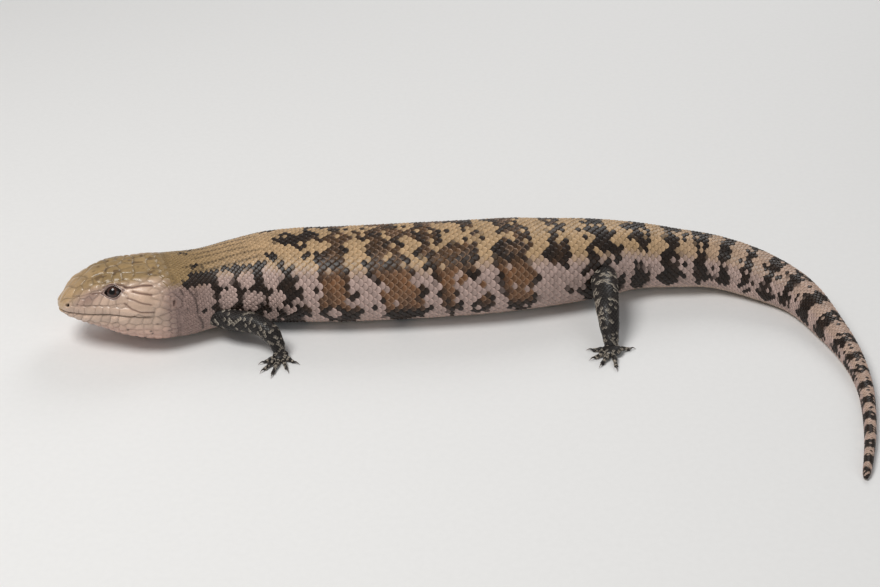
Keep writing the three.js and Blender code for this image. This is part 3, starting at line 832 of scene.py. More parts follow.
def head_details(s, u, points, which, groove, plate):
    """Push in millimetres, tint and edge for every point of the head."""
    over, mouth = np.abs(u), np.interp(s, *MOUTH_LINE)
    tint = head_colour(s, u, which, mouth)
    depth, dark, plain = face_lines(s, over, mouth)
    groove = groove * (1 - plain)
    fade = fall(s, 51.5, 57.5)
    push = (0.44 * plate * (1 - plain) + 0.30 * plain - 0.26 * groove - depth) * fade
    soft = np.maximum(ramp(over, mouth + 3, mouth + 6), ramp(s, 44, 52) * (over > 16))
    # The edge attribute darkens the skin along the grooves and folds as painted shade
    edge = np.maximum(groove * (0.56 - 0.34 * soft), dark * 0.8) * fade
    # Painted shade darkens the folds
    tint = mix(tint, tint * rgb(150, 110, 96), np.clip(dark, 0, 1))
    # The line of the mouth: a groove, darkened through the edge attribute as painted shade
    line = ramp(s, 0.2, 2.0) * fall(s, MOUTH_CORNER - 1, MOUTH_CORNER + 3)
    line = line * bump(points[:, 2], mouth_height(s), 0.36)
    push, edge = push - 0.95 * line, np.maximum(edge, line)
    for side in (1, -1):
        here = np.sign(u) == side
        # The lids: opening is 1 on the edge of the eye's slit
        x, y = in_frame(points, EYES[side])
        lean = (x + 0.10 * y) / OPEN_LONG
        opening = np.hypot(lean, y / (OPEN_TALL * (1 - 0.42 * np.clip(lean, -1.2, 1.2) ** 2)))
        close = here & (opening < 2.2)
        keep = ramp(opening, 1.45, 1.9)
        local = 0.42 * bump(opening, 1.17, 0.1) - 2.6 * fall(opening, 0.92, 1.05)
        local = local - 0.30 * bump(opening, 1.37, 0.07) + 0.30 * bump(opening, 1.58, 0.13)
        push = np.where(close, push * keep + local, push)
        # Lid colours: a pale rim, then a dark mauve ring, the lid's own colour deepened by painted
        # shade in the groove there; painted shadow of the brow darkens the upper lid
        lid = mix(rgb(176, 148, 136), rgb(92, 66, 62), bump(opening, 1.36, 0.13))
        lid = mix(lid, rgb(112, 82, 76), ramp(y, 1.6, 3.4) * 0.55)
        tint = mix(tint, lid, close * fall(opening, 1.4, 1.75) * 0.9)
        # Painted shade: the skin inside the slit, between the lids and the eye, is dark
        tint = np.where((here & (opening < 1.07))[:, None], rgb(48, 32, 30), tint)
        edge = np.where(close, edge * keep + 0.5 * bump(opening, 1.37, 0.07), edge)
        ring, local = pit(points, NOSTRILS[side], 1.05, 0.85, 3.2, 1.9, 0.6, (0.28, 1.55, 0.4))
        push = push + here * local
        # Painted shade: the inside of the nostril is near black
        tint = np.where((here & (ring < 0.95))[:, None], BLACK * 0.5, tint)
        ring, local = pit(points, EARS[side], 0.9, 1.9, 2.0, 1.2, 0.4, (0.2, 1.3, 0.2))
        push = push + here * local
        # Painted shade in the ear's hollow
        tint = mix(tint, rgb(112, 86, 78), here * fall(ring, 0.5, 1.0) * 0.7)
    return push, tint, edge


# %% [markdown]
# ## Skin
#
# The skin is one closed surface from the snout to the tail tip. It is fine on the head,
# where it carries the shields, and coarser under the body's scales.

# %% Body skin
HEAD_SIDES, BODY_SIDES, HEAD_END = 384, 128, 58.0
HEAD_STEP, BODY_STEP = 0.38, 3.2
LOWEST = 0.05  # the skin stays this far above the floor
snout_s = 0.02 + 3.0 * np.linspace(0.03, 1, 16) ** 2  # closer together on the round of the snout
head_s = np.concatenate([snout_s, np.arange(3.4, HEAD_END, HEAD_STEP)])
body_s = np.arange(HEAD_END + 1.2, LENGTH - 0.4, BODY_STEP)
body_s = np.concatenate([body_s, LENGTH - np.array([1.2, 0.5, 0.1])])


def ring_points(rows, sides):
    s = np.repeat(rows, sides)
    u = np.tile((np.arange(sides) / sides) * 2 - 1 + 1e-4, len(rows)) * girth(s)
    return s, u, *on_body(s, u)


hs, hu, hp, hn = ring_points(head_s, HEAD_SIDES)
push, head_tint, head_edge = head_details(hs, hu, hp, *shield_relief(hs, hu))
bs, bu, body_points, body_normals = ring_points(body_s, BODY_SIDES)
# The skin under the body's scales is darkened as painted shade in the gaps between them.
body_tint_shaded = body_colour(bs, bu, hashed(np.round(bs / 3), np.round(bu / 3)))[0] * 0.3
points = np.concatenate([
    hp + hn * (push - inset(hs))[:, None], body_points - body_normals * inset(bs)[:, None],
])
points[:, 2] = np.maximum(points[:, 2], LOWEST)
tint = np.concatenate([head_tint, body_tint_shaded])
edge = np.concatenate([head_edge, np.full(len(bs), 0.4)])

# %% [markdown]
# The head's rings have three times as many points as the body's, so a row of quads and
# triangles joins the two. A fan closes each end.

# %% Faces of the skin
base, total = len(hs), len(points)
points = np.concatenate([points, [points[-BODY_SIDES:].mean(0)], [points[:HEAD_SIDES].mean(0)]])
tint = np.concatenate([tint, tint[-1:], tint[:1]])
edge = np.concatenate([edge, edge[-1:], edge[:1]])
j = np.arange(BODY_SIDES)
before, same, after, beyond = (
    base - HEAD_SIDES + (3 * j + k) % HEAD_SIDES for k in (-1, 0, 1, 2)
)
quads = np.concatenate([
    grid_faces(len(head_s), HEAD_SIDES), grid_faces(len(body_s), BODY_SIDES) + base,
    np.stack([after, beyond, base + (j + 1) % BODY_SIDES, base + j], -1),
])
tris = np.concatenate([
    np.stack([before, same, base + j], -1), np.stack([same, after, base + j], -1),
    fan(total - BODY_SIDES, BODY_SIDES, total), fan(0, HEAD_SIDES, total + 1)[:, ::-1],
])
skin = make_mesh("skin", points, [quads, tris], tint, edge)
print("skin", len(skin.data.polygons), "faces")

# %% [markdown]
# ## Legs and feet
#
# The legs are short tubes that leave the body sideways, bend at the elbow or knee and
# come down to a flat palm with five toes. They follow the solids' own curves. The legs of
# the far side take other steps, so each has a step along the body, a tuck and a squat.

# %% Limb curves
FORELEG = {
    "name": "foreleg", "station": 86.0,
    "path": [
        # along the body, out from it, height, radius
        (-15, 14, 13.6, 5.6), (-7, 23.5, 13.4, 5.2), (4.2, 32, 13.8, 5.0),
        (10.2, 39, 11.4, 4.7), (12.6, 43, 6.8, 3.7), (13.2, 45.4, 2.8, 2.9),
    ],
    "palm": (13.2, 47.2, 4.1, 4.3, 2.4), "toe": 1.1,
    "toes": [(5.2, 48.2), (3.5, 54), (6.4, 58.8), (13.6, 57.2), (18.2, 52.6)],
    "far": (-8, 0.94, 1.0), "scale": 2.3,
}
HINDLEG = {
    "name": "hindleg", "station": 281.0,
    "path": [
        (-3, 8, 18.5, 7.8), (-5.8, 26, 19, 6.7), (-9.6, 43.5, 16.3, 5.8),
        (-10.6, 51, 11, 5.0), (-11.3, 57, 5.6, 3.9), (-11.8, 60.2, 2.9, 3.1),
    ],
    "palm": (-12, 62.2, 4.9, 5.1, 2.5), "toe": 1.2,
    "toes": [(-20.4, 58.6), (-21.4, 65), (-19.6, 70.6), (-13.8, 74.6), (-3, 61.4)],
    "far": (22, 0.7705, 0.84), "scale": 2.6,
}
SHOULDER = 15  # a leg is the same on both sides up to this distance out from the spine
SUNK = 0.25  # palms and toes reach this far into the floor, where they are cut flat


class Curve:
    """A smooth tube through points. Radius gives its size from the share of the points passed."""

    def __init__(self, knots, radius):
        self.knots = [2 * knots[0] - knots[1], *knots, 2 * knots[-1] - knots[-2]]
        t = np.linspace(0, 1, 241)
        self.points = np.array([self.point(at) for at in t * (len(knots) - 1)])
        self.radius = radius(t)
        step = np.linalg.norm(np.diff(self.points, axis=0), axis=1)
        self.run = np.concatenate([[0], np.cumsum(step)])
        self.length = float(self.run[-1])
        self.ways = unit(np.gradient(self.points, axis=0))
        across, made = np.cross(self.ways[0], [0.0, 0.0, 1.0]), []
        for way in self.ways:
            across = unit(across - way * (across @ way))
            made.append(across)
        self.across = np.array(made)
        self.other = np.cross(self.across, self.ways)

    def point(self, at):
        k = min(int(at), len(self.knots) - 4)
        x = at - k
        a, b, c, d = self.knots[k : k + 4]
        ab, bc, cd = (np.linalg.norm(q - p) ** 0.5 for p, q in ((a, b), (b, c), (c, d)))
        start = ((b - a) / ab - (c - a) / (ab + bc) + (c - b) / bc) * bc
        end = ((c - b) / bc - (d - b) / (bc + cd) + (d - c) / cd) * bc
        bend = (3 * (c - b) - 2 * start - end) * x**2
        return b + start * x + bend + (2 * (b - c) + start + end) * x**3

    def at(self, run, turn, grow=0.0):
        """Point and outward normal on the tube: run along it and turn round it from the top."""
        i = np.interp(run, self.run, np.arange(len(self.run)))
        k = np.minimum(i.astype(int), len(self.run) - 2)
        part = (i - k)[:, None]
        centre, across, other = (
            v[k] * (1 - part) + v[k + 1] * part for v in (self.points, self.across, self.other)
        )
        out = unit(other * np.cos(turn)[:, None] + across * np.sin(turn)[:, None])
        return centre + out * (np.interp(run, self.run, self.radius) + grow)[:, None], out

    def rings(self, runs, sides, grow=0.0):
        """Points of rings about the tube, and the turn of each."""
        turn = np.tile(np.arange(sides) * 2 * np.pi / sides, len(runs))
        return self.at(np.repeat(runs, sides), turn, grow)[0], turn


# %% [markdown]
# A limb keeps its own axes: out from the body, ahead along it and up. Its palm is a flat
# ellipsoid in these axes, and its toes start inside the palm.

# %% Limbs


class Limb:
    """One leg on one side: its curve, its palm and its toes."""

    def __init__(self, shape, side):
        self.name = shape["name"] + ("_left" if side > 0 else "_right")
        self.shape = shape
        here, left = spine(np.array(shape["station"]))
        self.origin = np.append(here, 0.0)
        outward, ahead = np.append(left * side, 0.0), np.array([-left[1], left[0], 0.0])
        self.axes = np.array([outward, ahead, [0.0, 0.0, 1.0]])
        self.step, self.tuck, squat = shape["far"] if side < 0 else (0.0, 1.0, 1.0)
        path = np.array(shape["path"], float)
        knots = [self.place(along, out, z * squat) for along, out, z, _ in path]
        self.curve = Curve(knots, lambda t: self.path_radius(path[:, 3], t * (len(path) - 1)))
        along, out, long, wide, thick = shape["palm"]
        self.size = np.array([wide, long, thick])
        self.palm = self.place(along, out, thick - SUNK)
        self.toes = [self.toe(*end) for end in shape["toes"]]

    def place(self, along, out, z):
        """A place from its distances along the body and out from the spine."""
        along = along + self.step * float(ramp(out, SHOULDER, 55))
        out = min(out, SHOULDER) + max(out - SHOULDER, 0) * self.tuck
        return self.origin + np.array([out, along, z]) @ self.axes

    @staticmethod
    def path_radius(radii, at):
        k = np.minimum(at.astype(int), len(radii) - 2)
        return radii[k] + (radii[k + 1] - radii[k]) * ramp(at - k, 0, 1)

    def toe(self, along, out):
        size, (_, long, thick) = self.shape["toe"], self.size
        end = self.place(along, out, size - SUNK)
        way = unit((end - self.palm) * np.array([1, 1, 0]))
        start = self.palm + way * long * 0.45
        start[2] = thick * 0.8
        knuckle = (start + end) / 2
        knuckle[2] = size + 0.7
        lumps = 0.94 * size
        toe = Curve(
            [start, knuckle, end],
            lambda t: lumps * (1.15 - 0.42 * t + 0.1 * np.cos(4 * np.pi * t)),
        )
        toe.way = way
        return toe

    def palm_top(self, x, y, index):
        """Point and normal over the palm, x out from its middle and y ahead of it."""
        wide, long, thick = self.size
        shrink = np.minimum(1.0, 0.97 / np.maximum(np.hypot(x / wide, y / long), 1e-6))
        x, y = x * shrink, y * shrink
        local = np.stack([x, y, thick * np.sqrt(1 - (x / wide) ** 2 - (y / long) ** 2)], -1)
        return self.palm + local @ self.axes, unit(local / self.size**2 @ self.axes)


LIMBS = [Limb(shape, side) for shape in (FORELEG, HINDLEG) for side in (1, -1)]
for limb in LIMBS:
    print(limb.name, "length", round(limb.curve.length, 1), "mm")

# %% [markdown]
# Under its scales each leg is part of the one skin, so the tubes are fused to the trunk.

# %% Limb skin


def tube_mesh(name, curve, sides, step, under):
    runs = np.append(np.arange(0, curve.length, step), curve.length)
    points, _ = curve.rings(runs, sides, -under)
    far_end = points[-sides:].mean(0) + curve.ways[-1] * curve.radius[-1] * 0.55
    points, *faces = capped(points, [points[:sides].mean(0), far_end], sides)
    points[:, 2] = np.maximum(points[:, 2], LOWEST)
    return make_mesh(name, points, faces)


def palm_mesh(name, limb):
    rows, sides = 14, 28
    a = np.repeat(np.linspace(0, np.pi, rows + 1)[1:-1], sides)
    b = np.tile(np.arange(sides) * 2 * np.pi / sides, rows - 1)
    ball = np.stack([np.sin(a) * np.sin(b), np.sin(a) * np.cos(b), np.cos(a)], -1)
    ball, *faces = capped(ball, [[0, 0, 1], [0, 0, -1]], sides)
    points = limb.palm + ball * (limb.size - 0.2) @ limb.axes
    points[:, 2] = np.maximum(points[:, 2], LOWEST)
    return make_mesh(name, points, faces)


parts = []
for limb in LIMBS:
    parts.append(tube_mesh(limb.name, limb.curve, 48, 1.0, 0.35))
    parts.append(palm_mesh(limb.name + "_pad", limb))
    parts.extend(tube_mesh(limb.name + "_toe", toe, 20, 0.5, 0.12) for toe in limb.toes)
known = np.concatenate([np.array([tuple(v.co) for v in obj.data.vertices]) for obj in parts])
group = bpy.data.collections.new("limbs")
face_out(skin)
for obj in parts:
    group.objects.link(face_out(obj))
fuse = skin.modifiers.new("fuse", "BOOLEAN")
fuse.operation, fuse.solver = "UNION", "MANIFOLD"
fuse.operand_type, fuse.collection = "COLLECTION", group
shaped = bpy.data.meshes.new_from_object(skin.evaluated_get(bpy.context.evaluated_depsgraph_get()))
skin.modifiers.clear()
old = skin.data
skin.data = shaped
bpy.data.meshes.remove(old)
for obj in parts:
    bpy.data.objects.remove(obj)
bpy.data.collections.remove(group)
print("fused skin", len(skin.data.polygons), "faces")

# %% [markdown]
# The fused skin takes its colours back from the points that it was made of.

# %% Skin attributes


def point_tree(points):
    tree = KDTree(len(points))
    for k, p in enumerate(points):
        tree.insert(p, k)
    tree.balance()
    return tree


tree = point_tree(np.concatenate([points * MM, known]))
# The legs' skin under their scales is darkened as painted shade in the gaps between them.
all_tint = np.concatenate([tint, np.tile(LEG * 0.55, (len(known), 1))])
all_edge = np.concatenate([edge, np.full(len(known), 0.3)])
found = np.array([tree.find(v.co)[1] for v in skin.data.vertices])
set_layers(skin.data, all_tint[found], all_edge[found])
skin.data.polygons.foreach_set("use_smooth", np.full(len(skin.data.polygons), True))
skin.data.materials.clear()
finish_piece(
    skin, SKIN, [n for n in NODES if not n.startswith("eye") and "_claw_" not in n]
)

# %% [markdown]
# ## Scales
#
# A scale is a small rounded plate that is rooted at its front edge and lies over the
# next row behind it, like a roof tile. One plate is worked out once, and every scale is
# that plate bent to the skin where it grows. Neighbouring rows are half a scale apart.

# %% One scale
SPOKES, RINGS = 12, (0.68, 1.0)
PLATE_HALF = 0.54  # half the width of a plate, as a share of a scale's width
PLATE_DEPTH = 0.40  # from its top down to its underside, in the same measure


def scale_plate():
    """Along, across, height, rim share, share of the pale free edge and faces of a plate one unit wide.
    The pale edge is a painted highlight, and on fleck scales the fleck itself.
    """
    t = 2 * np.pi * (np.arange(SPOKES) + 0.5) / SPOKES
    c, s = np.cos(t), np.sin(t)
    long = np.sign(c) * np.abs(c) ** (2 / 1.9) * np.where(c > 0, 1.16, 0.9)
    outline = np.stack([long, s * PLATE_HALF], -1)
    middle = np.zeros((1, 2))
    tops = [outline * ring for ring in RINGS]
    a, b = np.concatenate([middle, *tops, outline * 0.98, middle]).T
    under = 1 + len(RINGS) * SPOKES
    rim = np.concatenate([[0.0], np.repeat(RINGS, SPOKES), np.ones(SPOKES + 1)])
    drop = np.where(np.arange(len(a)) < under, 0.0, PLATE_DEPTH)
    height = 0.10 + 0.30 * a + 0.14 * (1 - (b / PLATE_HALF) ** 2) - 0.04 * rim**6 - drop
    # The free edge is painted paler: a painted highlight, and on fleck scales the fleck itself.
    pale = ramp(rim, 0.62, 1.0) * ramp(a, -0.35, 0.5)
    sides = halves(grid_faces(len(RINGS) + 1, SPOKES) + 1)[:, ::-1]
    below = fan(under, SPOKES, under + SPOKES)[:, ::-1]
    return a, b, height, rim, pale, np.concatenate([fan(1, SPOKES, 0), sides, below])


PLATE_A, PLATE_B, PLATE_H, PLATE_RIM, PLATE_HIGHLIGHT_AND_FLECK, PLATE_FACES = scale_plate()
print("a scale has", len(PLATE_FACES), "triangles")


def scale_coat(name, surface, roots, colours, uv, rise=0.7, sink=0.0, lines=None):
    """Scales at roots (place along, place across, width, pitch) as one piece.

    rise is how far they stand up, from 0 to 1, and sink how deep their roots lie.
    """
    n, m = len(roots), len(PLATE_A)
    s, u, w, pitch = (column[:, None] for column in roots.T)
    roll = (hashed(s, u, 1) - 0.5) * 0.10
    size = 1 + (hashed(s, u, 2) - 0.5) * 0.08
    tilt = 1 + (hashed(s, u, 4) - 0.5) * 0.4
    rise, sink = (np.broadcast_to(v, n)[:, None] for v in (rise, sink))
    a, b = PLATE_A * pitch * size, PLATE_B * w * size
    at_s, at_u = (s + a - b * roll).ravel(), (u + b + a * roll).ravel()
    lift = (PLATE_H * tilt - 0.06) * (w / 3.8 * (0.3 + 0.7 * rise)) - sink
    points, normals = surface(at_s, at_u, np.repeat(np.arange(n), m))
    points = points + normals * lift.ravel()[:, None]
    points[:, 2] = np.maximum(points[:, 2], 0.02)
    faces = (PLATE_FACES + np.arange(n)[:, None, None] * m).reshape(-1, 3)
    tint, rim = (np.repeat(c, m, axis=0) for c in colours)
    # Painted shade darkens the front of each scale, where the row ahead lies over it.
    root = fall(PLATE_A, -0.6, 0.5) * (0.06 + 0.50 * rise)
    tint = mix(tint * (0.98 - root.ravel())[:, None], rim, np.tile(PLATE_HIGHLIGHT_AND_FLECK, n))
    if lines is not None:
        tint = tint * (1 - 0.85 * lines(at_s, at_u))[:, None]
    around = np.stack([PLATE_A, PLATE_B], -1) * 0.0015
    spread = (uv[:, None, :] + around).reshape(-1, 2)
    obj = face_out(make_mesh(name, points, [faces], tint, np.tile(PLATE_RIM, n), spread))
    finish_piece(obj, SCALES)
    print(name, n, "scales,", len(faces), "triangles")


# %% [markdown]
# The rows start behind the head shields and run to the tail tip, and the scales grow
# smaller as the tail does. Where a leg leaves the body, the scales that would lie inside
# it are left out.

# %% Body scales
ROW = 0.54  # distance from one row to the next, as a share of a scale's width
FIRST_ROW = 51.6
WIDTHS = (
    [50, 62, 76, 90, 104, 120, 150, 255, 300, 343, 391, 446, 501, 538],
    [1.9, 2.2, 2.4, 2.7, 3.3, 3.8, 4.0, 4.0, 3.7, 3.2, 2.7, 2.1, 1.6, 1.25],
)


def distance_in_limb(p):
    """How far inside the nearest limb's tube a point lies, in millimetres."""
    tubes = [limb.curve for limb in LIMBS]
    return max(float((c.radius - np.linalg.norm(c.points - p, axis=1)).max()) for c in tubes)


def body_roots():
    roots, s, row = [], FIRST_ROW, 0
    while s < LENGTH - 0.8:
        w, half = float(np.interp(s, *WIDTHS)), float(girth(s))
        across = [c * w for c in np.arange(0.5 * (row % 2), 60) if c * w < half - 0.35 * w]
        for u in across:
            roots.extend((s, side * u, w, ROW * w) for side in ((1, -1) if u > 0 else (1,)))
        if half - across[-1] > 0.62 * w:
            roots.append((s, half, w, ROW * w))
        s += ROW * w
        row += 1
    return np.array(roots)


def body_surface(s, u, index):
    return on_body(np.clip(s, 0.2, LENGTH - 0.05), u)


roots = body_roots()
s, u, _, pitch = roots.T
centres, _ = on_body(s + 0.2 * pitch, u)
near_limb = ((s > 66) & (s < 110)) | ((s > 255) & (s < 315))
keep = np.array([not near or distance_in_limb(p) < 0.6 for near, p in zip(near_limb, centres)])
keep &= np.hypot((s - EAR[0]) / 3.6, (np.abs(u) - EAR[1]) / 4.2) > 1
roots = roots[keep]
s, u, _, pitch = roots.T
colours = body_colour(s + 0.4 * pitch, u, hashed(s, u, 6))
uv = np.stack([0.02 + 0.96 * s / LENGTH, 0.05 + 0.55 * (u / girth(s) * 0.5 + 0.5)], -1)
PIECES = [
    ("scales_neck", 50, 110, "skin_pale"), ("scales_torso_front", 110, 200, "skin_banded"),
    ("scales_torso_rear", 200, 293, "skin_banded"), ("scales_tail_base", 293, 400, "skin_banded"),
    ("scales_tail", 400, 539, "skin_banded"),
]
for name, start, stop, slot in PIECES:
    part = (s >= start) & (s < stop)
    # The first rows lie flat, and come out of the skin behind the last head shields
    rise, sink = ramp(s[part], 51, 61), 0.42 * fall(s[part], 51.5, 57.5)
    picked = [c[part] for c in colours]
    scale_coat(name, body_surface, roots[part], picked, uv[part], rise, sink, neck_lines)

# %% [markdown]
# A leg's scales are smaller and nearly black, with pale flecks. The toes have short wide
# plates over the top, and the palm has small round ones.

# %% Leg colours and palms
SMALL = 1.5  # width of the scales on palms and toes


def leg_colour(p, grain):
    """Tint and edge tint of the legs: near black, with pale scales in loose clusters. The paler edge
    tint is a painted highlight, and on fleck scales the fleck itself.
    """
    spot = noise(p[:, 0] / 4.5, p[:, 1] / 4.5 + p[:, 2] / 4.0, 41)
    fleck = (grain > 1.02 - 0.55 * spot)[:, None]
    shade = (0.75 + 0.5 * hashed(grain, 1, 2))[:, None]
    tint = np.where(fleck, FLECK * 0.3, LEG)
    return tint * shade, np.where(fleck, FLECK * 1.5, rgb(62, 57, 54)) * shade


def palm_roots(limb):
    """Roots over the top of a palm, as distances out from its middle and ahead of it."""
    wide, long, _ = limb.size
    roots = []
    for row, x in enumerate(np.arange(-wide, wide, SMALL * ROW)):
        for y in np.arange(-long - SMALL * 0.5 * (row % 2), long, SMALL):
            if np.hypot(x / wide, y / long) < 0.9:
                roots.append((x, y, SMALL, SMALL * ROW))
    return np.array(roots)


for limb in LIMBS:
    roots = palm_roots(limb)
    x, y = roots[:, 0], roots[:, 1]
    centres, _ = limb.palm_top(x, y, None)
    spots = np.stack([0.04 + 0.9 * (x * 0.01 + 0.5), 0.985 + y * 0.001], -1)
    tints = leg_colour(centres, hashed(centres[:, 0], centres[:, 1], 5))
    scale_coat("scales_" + limb.name + "_palm", limb.palm_top, roots, tints, spots)

# %% Leg scales
body_tree = point_tree(body_points)


def depth_in_body(p):
    """How far under the body's skin a point lies, in millimetres."""
    q, k, _ = body_tree.find(p)
    return float((np.array(q) - p) @ body_normals[k])


def tube_roots(curve, widths, start, stop):
    roots, run, row = [], start, 0
    while run < stop:
        radius = float(np.interp(run, curve.run, curve.radius))
        width = float(np.interp(run / curve.length, [0, 0.5, 1], widths))
        count = max(5, round(2 * np.pi * radius / width))
        turns = 2 * np.pi * (np.arange(count) + 0.5 * (row % 2)) / count
        roots.extend((run, turn, 2 * np.pi * radius / count, ROW * width) for turn in turns)
        run += ROW * width
        row += 1
    return np.array(roots)


def on_tubes(tubes, owner, radius):
    """A surface over several tubes. Owner and radius say which tube each root is on."""

    def surface(s, u, index):
        p, n = np.empty((len(s), 3)), np.empty((len(s), 3))
        for k, tube in enumerate(tubes):
            mine = owner[index] == k
            p[mine], n[mine] = tube.at(s[mine], u[mine] / radius[index[mine]])
            p[mine] += tube.ways[-1] * np.clip(s[mine] - tube.length, 0, 3)[:, None]
        return p, n

    return surface


for place, limb in enumerate(LIMBS):
    big, leg = limb.shape["scale"], limb.curve
    tubes = [leg] + limb.toes
    sets = [tube_roots(leg, [big, big * 0.86, big * 0.62], 4.0, leg.length - 0.6)]
    sets += [tube_roots(toe, [SMALL] * 3, 0.8, toe.length - 0.2) for toe in limb.toes]
    owner = np.repeat(np.arange(len(sets)), [len(r) for r in sets])
    radius = np.concatenate([np.interp(r[:, 0], t.run, t.radius) for t, r in zip(tubes, sets)])
    flat = np.concatenate(sets)
    flat[:, 1] *= radius
    s, u, w, _ = flat.T
    centres, _ = on_tubes(tubes, owner, radius)(s, u, np.arange(len(flat)))
    keep = np.array([depth_in_body(p) < 0.5 for p in centres]) & (centres[:, 2] > 0.1)
    grain = hashed(centres[:, 0], centres[:, 1], 7)
    # Every third row of a toe is pale
    ringed = (owner > 0) & (np.round(s / (SMALL * ROW)) % 3 == 0) & (grain > 0.25)
    colour = [np.where(ringed[:, None], FLECK * 0.9, c)[keep] for c in leg_colour(centres, grain)]
    uv = np.stack([
        0.04 + 0.15 * owner + 0.12 * np.clip(s / leg.length, 0, 1),
        0.65 + 0.085 * place + 0.07 * ((u / w * 0.07) % 1),
    ], -1)
    surface = on_tubes(tubes, owner[keep], radius[keep])
    scale_coat("scales_" + limb.name, surface, flat[keep], colour, uv[keep])

# %% [markdown]
# ## Eyes and claws
#
# The eye is a dark, wet ball with a reddish brown iris and a round pupil, deep between
# its lids. The claws are small curved horns, dark at the root and paler at the point.

# %% Eyes


def grained_material(name, size, shade, rough, depth, **finish):
    """A plain material with a fine grain. Shade and rough are the least and the spread."""
    sh = Shader(name)
    grain = sh.noise(size, 3.0)
    if depth:
        finish["Normal"] = sh.bump(grain, 0.3, depth)
    return sh.set(
        Base_Color=sh.scale_colour(sh.attribute("tint"), shade[0] + grain * shade[1]),
        Roughness=rough[0] + grain * rough[1], **finish,
    )


def eye_piece(name, side):
    origin, along, up, out = EYES[side]
    centre, rows, sides = origin - out * EYE_SUNK, 40, 64
    a = np.repeat(np.concatenate([[0.004], np.linspace(0.05, np.pi - 0.004, rows - 1)]), sides)
    b = np.tile(np.arange(sides) * 2 * np.pi / sides, rows)
    bulge = EYE_RADIUS + 0.25 * bump(a, 0, 0.55)
    ball = np.stack([np.sin(a) * np.cos(b), np.sin(a) * np.sin(b), np.cos(a)], -1)
    points = centre + ball * bulge[:, None] @ np.array([along, up, out])
    ring = np.sin(a) * EYE_RADIUS
    iris = mix(rgb(66, 38, 29), rgb(26, 15, 12), ramp(ring, 1.9, 2.9))
    colour = mix(BLACK * 0.15, iris, ramp(ring, 1.35, 1.7))
    colour = mix(colour, BLACK * 0.4, ramp(ring, 3.1, 3.5))
    colour = np.where((a > 1.5)[:, None], BLACK * 0.4, colour)
    colour = np.concatenate([colour, colour[:1], colour[-1:]])
    points, *faces = capped(points, [centre + out * bulge[0], centre - out * EYE_RADIUS], sides)
    return face_out(make_mesh(name, points, faces, colour))


wet = grained_material(
    "eye", 0.35, (0.7, 0.6), (0.12, 0.04), 0,
    Specular_IOR_Level=0.3, Coat_Weight=0.5, Coat_Roughness=0.02,
)
for side, word in ((1, "left"), (-1, "right")):
    finish_piece(eye_piece("eyeball_" + word, side), wet, ["eye_" + word])

# %% Claws
CLAW_LENGTH, CLAW_RADIUS = 3.6, 0.92


def claw_horn(toe):
    """Points, triangles and colours of one claw at the end of a toe."""
    root = toe.points[-1] + toe.ways[-1] * 0.1
    tip = root + toe.way * (CLAW_LENGTH + 0.2)
    tip[2] = 0.35
    bend = root + toe.way * CLAW_LENGTH * 0.5
    bend[2] = root[2] + 0.55
    horn = Curve(
        [root - toe.ways[-1] * 0.5, root, bend, tip],
        lambda t: CLAW_RADIUS * np.minimum(1 - 0.94 * t**1.15, 1.0),
    )
    sides, rows = 12, 14
    runs = np.linspace(0, horn.length, rows)
    skin_points, turn = horn.rings(runs, sides)
    radius = np.repeat(np.interp(runs, horn.run, horn.radius), sides)
    middle, _ = horn.at(np.repeat(runs, sides), turn, -radius)
    narrow = np.where(np.abs(np.sin(turn)) > 0.5, 0.78, 1.0)
    p = middle + (skin_points - middle) * narrow[:, None]
    p[:, 2] = np.maximum(p[:, 2], 0.02)
    p, quads, caps = capped(p, [p[:sides].mean(0), p[-sides:].mean(0) + toe.way * 0.12], sides)
    shade = np.concatenate([np.repeat(runs, sides) / horn.length, [0, 1]])
    tint = mix(rgb(38, 31, 28), rgb(120, 104, 90), ramp(shade, 0.35, 1.0))
    return p, np.concatenate([halves(quads), caps]), tint


horns = [claw_horn(toe) for limb in LIMBS for toe in limb.toes]
points, faces, tint = (np.array(v) for v in zip(*horns))
faces = faces + np.arange(len(horns))[:, None, None] * points.shape[1]
claws = make_mesh("claws", points.reshape(-1, 3), [faces.reshape(-1, 3)], tint.reshape(-1, 3))
horny = grained_material(
    "claw", 0.5, (0.75, 0.5), (0.26, 0.16), 0.05, Coat_Weight=0.2, Coat_Roughness=0.15
)
finish_piece(face_out(claws), horny, [n for n in NODES if "_claw_" in n])
print(len(horns), "claws")

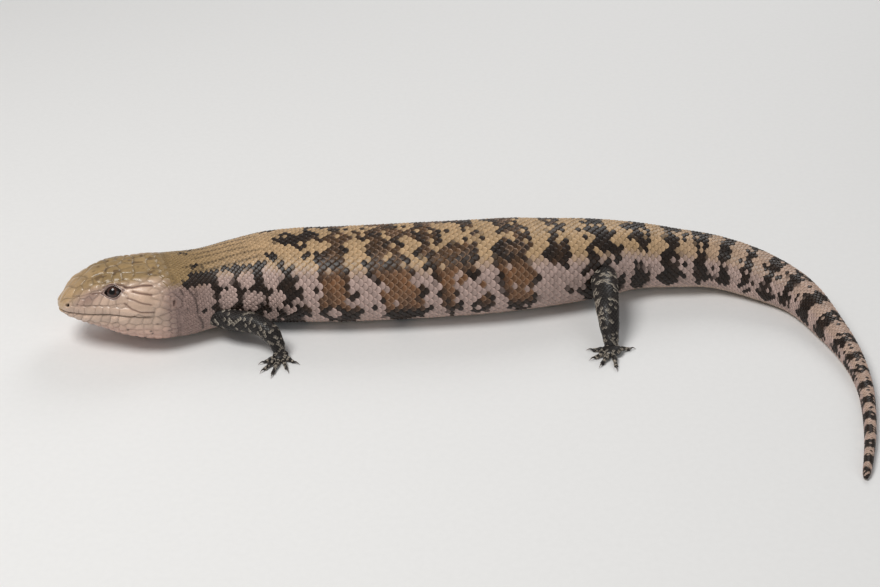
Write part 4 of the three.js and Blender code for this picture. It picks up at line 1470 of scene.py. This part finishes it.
# %% [markdown]
# ## Floor, light and camera
#
# The floor is a plain pale sheet. One large soft light stands high on the camera's left,
# a weaker one fills from the right and a third lights the far edge from behind. A pale
# sky lifts the shadows.

# %% Floor
FLOOR_HALF = 3000.0
corners = [(x * FLOOR_HALF, y * FLOOR_HALF, 0) for x, y in ((-1, -1), (1, -1), (1, 1), (-1, 1))]
floor = make_mesh("floor", corners, [[[0, 1, 2, 3]]])
paper = Shader("floor")
grain = paper.noise(3.0, 3.0)
floor.data.materials.append(
    paper.set(
        Base_Color=paper.mix(grain, (0.80, 0.80, 0.80, 1), (0.84, 0.84, 0.84, 1)),
        Roughness=0.7, Normal=paper.bump(grain, 0.1, 0.1),
    )
)

# %% Lights


def area_light(name, place, aim, size, power, colour=(1, 1, 1)):
    lamp = bpy.data.lights.new(name, "AREA")
    lamp.shape, lamp.size, lamp.energy, lamp.color = "DISK", size, power, colour
    obj = bpy.data.objects.new(name, lamp)
    obj.location = place
    obj.rotation_euler = (Vector(aim) - Vector(place)).to_track_quat("-Z", "Y").to_euler()
    bpy.context.collection.objects.link(obj)


area_light("key", (-0.5, -0.3, 1.1), (0, 0, 0), 0.6, 10.0, (1.0, 0.985, 0.96))
area_light("fill", (0.9, -1.0, 0.6), (0, 0, 0), 0.9, 2.2, (0.96, 0.98, 1.0))
area_light("rim", (0.35, 1.0, 0.8), (0, 0, 0.02), 0.7, 4.0)
world = bpy.data.worlds.new("sky")
world.use_nodes = True
background = world.node_tree.nodes["Background"].inputs
background["Color"].default_value = (1.0, 0.99, 0.97, 1)
background["Strength"].default_value = 0.24
bpy.context.scene.world = world
bpy.context.scene.view_settings.view_transform = "Standard"

# %% Camera
lens = bpy.data.cameras.new("camera")
lens.lens, lens.sensor_width, lens.sensor_fit = 65.0, 36.0, "HORIZONTAL"
lens.clip_start, lens.clip_end = 0.05, 20.0
camera = bpy.data.objects.new("camera", lens)
camera.location = (-0.008427, -0.67082, 0.44619)
camera.rotation_euler = (math.radians(58.0), 0.0, 0.0)
bpy.context.collection.objects.link(camera)
bpy.context.scene.camera = camera
